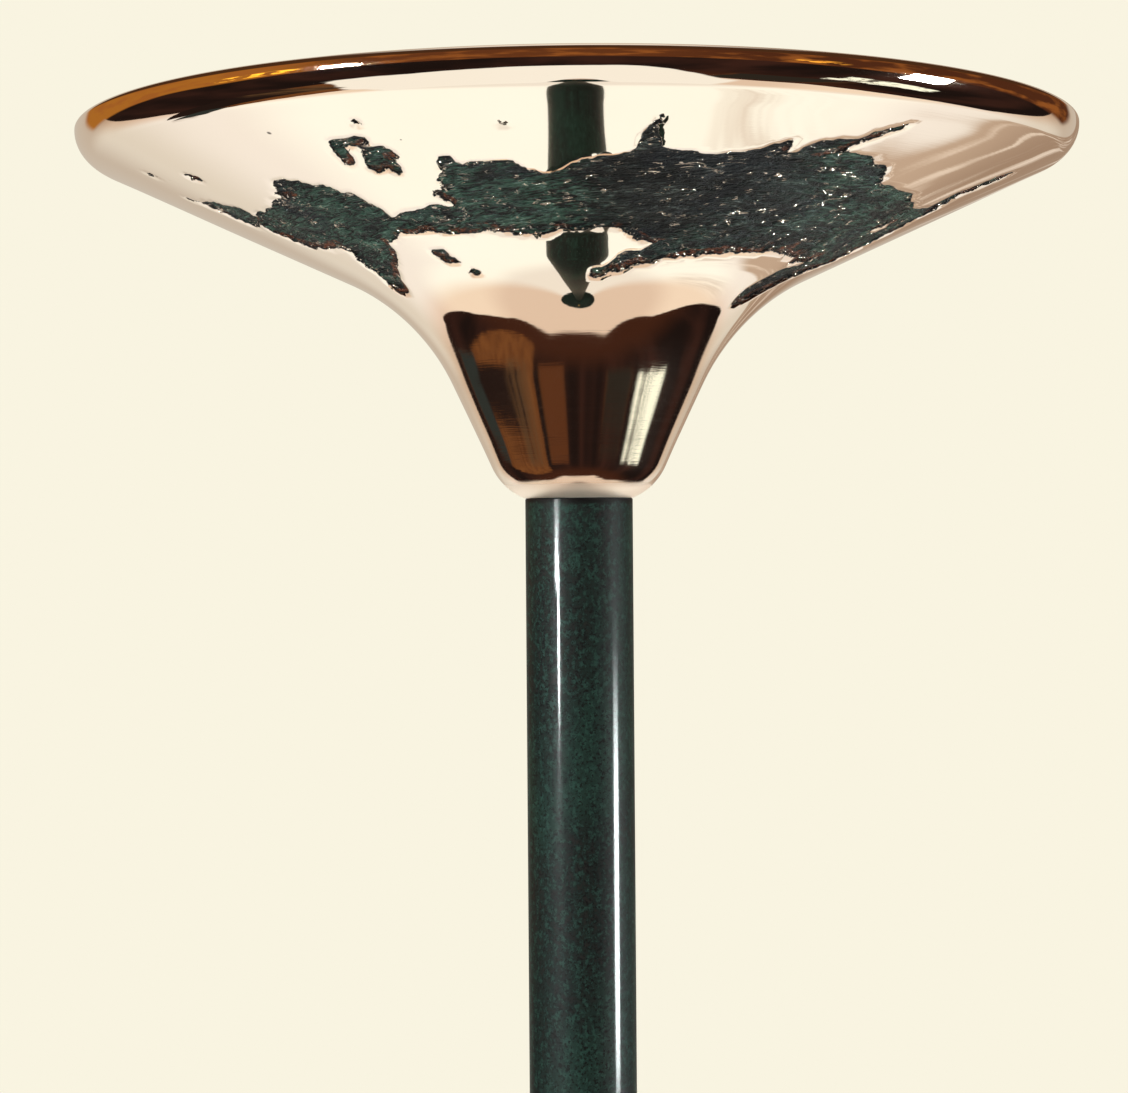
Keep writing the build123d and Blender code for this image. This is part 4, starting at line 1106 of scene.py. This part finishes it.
# copper-brown band, widest at the lower edges: partly rusty copper, partly painted light on each
# recess's lit lower wall
copper_and_lit_edge = tint(ease(fine, 0.42, 0.62), rgb(30, 18, 14), rgb(112, 62, 40))
fringe_width = lower * 3.4 + 0.2
fringe = ease(fringe_width - depth_mm, -0.5, 0.5)
fringe = fringe * ease(grain(place, 120, 2), 0.4, 0.54)
patina_and_painted_light = tint(fringe, green, copper_and_lit_edge)
# a near-black band just inside each edge: painted shade where the polished face steps down into
# the recess
patina_and_painted_light = tint(ease(depth_mm, 1.1, 0.5), patina_and_painted_light, rgb(14, 10, 9))
curls = grain(stretch(slant, 1, 1, 1.4), 150, 2, 0.5, 2.4)
curls = ease(abs(curls - 0.55), 0.026, 0.01)
scratch = curls * ease(grain(place, 210, 3), 0.57, 0.62)
nick = grain(place, 620, 2, 0.5)
nick_level = ease(depth_mm, 4.5, 1.5) * -0.13 + 0.76
nick = ease(nick - nick_level, 0, 0.02)
nick = calc("MAXIMUM", nick, scratch) * rough_part
bare = calc("MAXIMUM", 1 - rough_part, nick)
patina_painted_light_and_nicks = tint(nick, patina_and_painted_light, (0.88, 0.76, 0.64, 1))
feed(
    bronze,
    Base_Color=tint(rough_part, metal, patina_painted_light_and_nicks),
    Metallic=(1 - bare) * -0.97 + 1,
    Roughness=blend(bare, fine * 0.4 + 0.26, metal_rough),
)
lumps = strands * 0.55 + fine * 0.12 + mottle
rough_bump = raise_by(lumps * rough_part, 0.0042)
step_bump = raise_by(1 - rough_part, 0.00025, 0.9, rough_bump)
hair_level = funnel_side * 2.4 + 0.5
smooth_bump = raise_by(hair * hair_level + pit * (satin * 7 - 8), 0.0000045, 1, step_bump)
feed(bronze, Normal=smooth_bump)
bowl_mesh.materials.append(bronze)
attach(bronze_bowl, "stand")
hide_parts("bowl")

# Frame above the bowl's floor.
# A steel disc under the rod's nut carries two riveted posts, and a folded steel
# bracket stands on them over the heat shield. Nuts hold the bracket.
dress(zinc, "post_plate", "support_posts", "bracket_spacers", "post_nuts", "lamp_bracket")

# Screws of the holders and of the two terminal blocks.
# Slotted pan-head steel screws like the plate's, but zinc plated: two through each
# end of the bracket, one down into the upper block and one up into the lower.
HOLDER_SCREW = (0.0028, 0.0018, 0.0015)
HOLDER_PITCH = 0.012
HOLDER_SCREW_END = 0.0704
BLOCK_SCREW = (0.0028, 0.0016, 0.0015)
low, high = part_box("holder_screws")
bracket_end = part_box("lamp_bracket")[1].x
level = (low.z + high.z) / 2
seats = [(s * bracket_end, t * HOLDER_PITCH / 2, level) for s in (-1, 1) for t in (-1, 1)]
ways = [(math.copysign(1, seat[0]), 0, 0) for seat in seats]
sizes = (*HOLDER_SCREW, bracket_end - HOLDER_SCREW_END)
fit_screws("holder_screws", zinc, seats, ways, sizes, seed=5)
low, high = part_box("head_block_screw")
seat = high.z - BLOCK_SCREW[1]
sizes = (*BLOCK_SCREW, seat - low.z)
fit_screws("head_block_screw", zinc, [(0, 0, seat)], [UP], sizes, seed=8)
low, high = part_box("base_block_screw")
seat = low.z + BLOCK_SCREW[1]
seats = [((low.x + high.x) / 2, (low.y + high.y) / 2, seat)]
sizes = (*BLOCK_SCREW, high.z - seat)
fit_screws("base_block_screw", zinc, seats, [DOWN], sizes, seed=11)

# Heat shield.
# A shallow aluminium dish, spun over a former, that throws the lamp's light up and
# keeps its heat off the leads. The spinning tool left fine rings.
shield_metal, place = finish("spun_aluminium", Metallic=1)
out = length(stretch(place, 1, 1, 0))
rings = node("TexNoise", {"W": out * 2600, "Detail": 3}, noise_dimensions="1D")
haze = grain(place, 40, 4, 0.6)
heat = ease(out, 0.05, 0.012) * ease(haze, 0.4, 0.62)
ground = tint(rings, rgb(226, 228, 230), rgb(206, 207, 208))
ground = tint(heat * 0.35, ground, rgb(206, 186, 150))
surface(shield_metal, ground, rings * 0.22 + haze * 0.16 + 0.12, rings, 0.00003)
dress(shield_metal, "heat_shield")

# Lamp holders and upper terminal block.
# Pressed steatite, glazed white, with a contact in each holder: fixed on the left,
# sprung on the right. The lamp's heat has toasted the glaze.
steatite, place = finish(
    "glazed_steatite", Coat_Weight=0.5, Coat_Roughness=0.12, Specular_IOR_Level=0.5
)
speckle = grain(place, 1300, 4, 0.6)
cloud = grain(place, 110, 3)
lamp_low, lamp_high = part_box("lamp_tube")
lamp_level = (lamp_low.z + lamp_high.z) / 2
height = xyz(place)[2]
toast = ease(abs(height - lamp_level), 0.01, 0.001)
toast = toast * ease(cloud, 0.42, 0.66)
ground = tint(cloud, rgb(238, 236, 230), rgb(226, 223, 214))
ground = tint(ease(speckle, 0.66, 0.74), ground, rgb(172, 164, 148))
ground = tint(toast * 0.5, ground, rgb(196, 170, 128))
surface(steatite, ground, cloud * 0.25 + 0.2, speckle, 0.00003)
dress(steatite, "head_terminal_block", "fixed_holder", "sprung_holder", "lamp_caps")

# Leads to the lamp.
# Two stranded wires in silicone and glass braid run from the upper block through
# the shield to the holders' terminals.
BRAID = 0.0011
braided, place = finish("glass_braid_on_silicone", Sheen_Weight=0.25, Sheen_Roughness=0.5)
axes = xyz(place)
slant = axes[0] + axes[2]
one = calc("SINE", (slant + axes[1]) * 2 * math.pi / BRAID)
two = calc("SINE", (slant - axes[1] * 1.3) * 2 * math.pi / BRAID)
weave = one * two * 0.5 + 0.5
soil = grain(place, 120, 4, 0.6)
ground = tint(weave, rgb(196, 190, 172), rgb(232, 228, 214))
ground = tint(ease(soil, 0.5, 0.72) * 0.5, ground, rgb(150, 136, 108))
surface(braided, ground, soil * 0.2 + 0.6, weave, 0.00015)
dress(braided, "live_wire", "neutral_wire")

# Halogen lamp.
# A clear quartz tube pinched at both ends into ceramic caps, with a coiled
# tungsten filament along its axis, held off the wall by spiral supports.
PINCH = (0.0395, 0.0425)
quartz, place = finish("clear_quartz", Transmission_Weight=1, IOR=1.46)
along = abs(xyz(place)[0])
pinched = ease(along, *PINCH)
strain = grain(stretch(place, 1, 4, 4), 190, 3)
cloudy = tint(strain, (0.9, 0.9, 0.88, 1), (0.78, 0.76, 0.72, 1))
ground = tint(pinched, (0.99, 0.99, 0.99, 1), cloudy)
surface(quartz, ground, pinched * 0.22 + strain * 0.02, strain, 0.00002)
dress(quartz, "lamp_tube")

COIL_TURNS = 76.0
COIL_WIRE = 0.00016
COIL_LENGTH = 0.068
SUPPORT_REACH = 0.0039
SUPPORT_TURNS = 2.2
SUPPORT_RISE = 0.0008
SUPPORT_PITCH = 0.0135
FILAMENT_SIZES = (
    "Turns", "Coil Radius", "Coil Length", "Lead Length", "Wire Radius", "Support Radius"
)
filament_tree, size = shape_tree("filament_coil", *FILAMENT_SIZES)


def spiral(resolution, turns, end_radius, height):
    """A spiral of the filament tree that starts at the coil's radius."""
    return node("GeometryNodeCurveSpiral", {
        "Resolution": resolution,
        "Rotations": turns,
        "Start Radius": size["Coil Radius"],
        "End Radius": end_radius,
        "Height": height,
    })


coil = spiral(10, size["Turns"], size["Coil Radius"], size["Coil Length"])
coil = lifted(coil, size["Coil Length"] * -0.5)
half_coil = size["Coil Length"] * 0.5
leads = []
for sign in (-1, 1):
    start = node("CombineXYZ", {0: size["Coil Radius"], 2: half_coil * sign})
    end = node("CombineXYZ", {2: (half_coil + size["Lead Length"]) * sign})
    leads.append(node("GeometryNodeCurvePrimitiveLine", {"Start": start, "End": end}))
support = spiral(16, SUPPORT_TURNS, size["Support Radius"], SUPPORT_RISE)
# all are drawn upright and laid along the lamp
quarter = {"Axis": (0, 1, 0), "Angle": math.pi / 2}
quarter = node("FunctionNodeAxisAngleToRotation", quarter, filament_tree)
curves = {"Geometry": joined(coil, *leads), "Rotation": quarter}
curves = lifted(node("GeometryNodeTransform", curves), lamp_level)
support = node("GeometryNodeTransform", {"Geometry": support, "Rotation": quarter})
supports = {"Points": size["Geometry"], "Instance": support}
supports = node("GeometryNodeInstanceOnPoints", supports)
supports = node("GeometryNodeRealizeInstances", {0: supports})
profile = {"Resolution": 6, "Radius": size["Wire Radius"]}
profile = node("GeometryNodeCurvePrimitiveCircle", profile)
wire = {"Curve": joined(curves, supports), "Profile Curve": profile, "Fill Caps": True}
close_tree(node("GeometryNodeCurveToMesh", wire), size["Finish"])

tungsten, place = finish("drawn_tungsten", Metallic=1)
drawn = grain(place, 5200, 2)
soot = grain(place, 300, 3)
ground = tint(soot, rgb(150, 148, 146), rgb(96, 93, 92))
surface(tungsten, ground, drawn * 0.3 + 0.3, drawn, 0.00001)
low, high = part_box("lamp_filament")
lead_length = high.x - COIL_LENGTH / 2 - COIL_WIRE
sizes = (COIL_TURNS, high.y - COIL_WIRE, COIL_LENGTH, lead_length, COIL_WIRE, SUPPORT_REACH)
coil_sizes = dict(zip(FILAMENT_SIZES, sizes), Finish=tungsten)
support_points = [(i * SUPPORT_PITCH, 0, lamp_level) for i in range(-2, 3)]
filament = grown("filament_coil", filament_tree, coil_sizes, support_points)
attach(filament, "lamp")
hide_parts("lamp_filament")
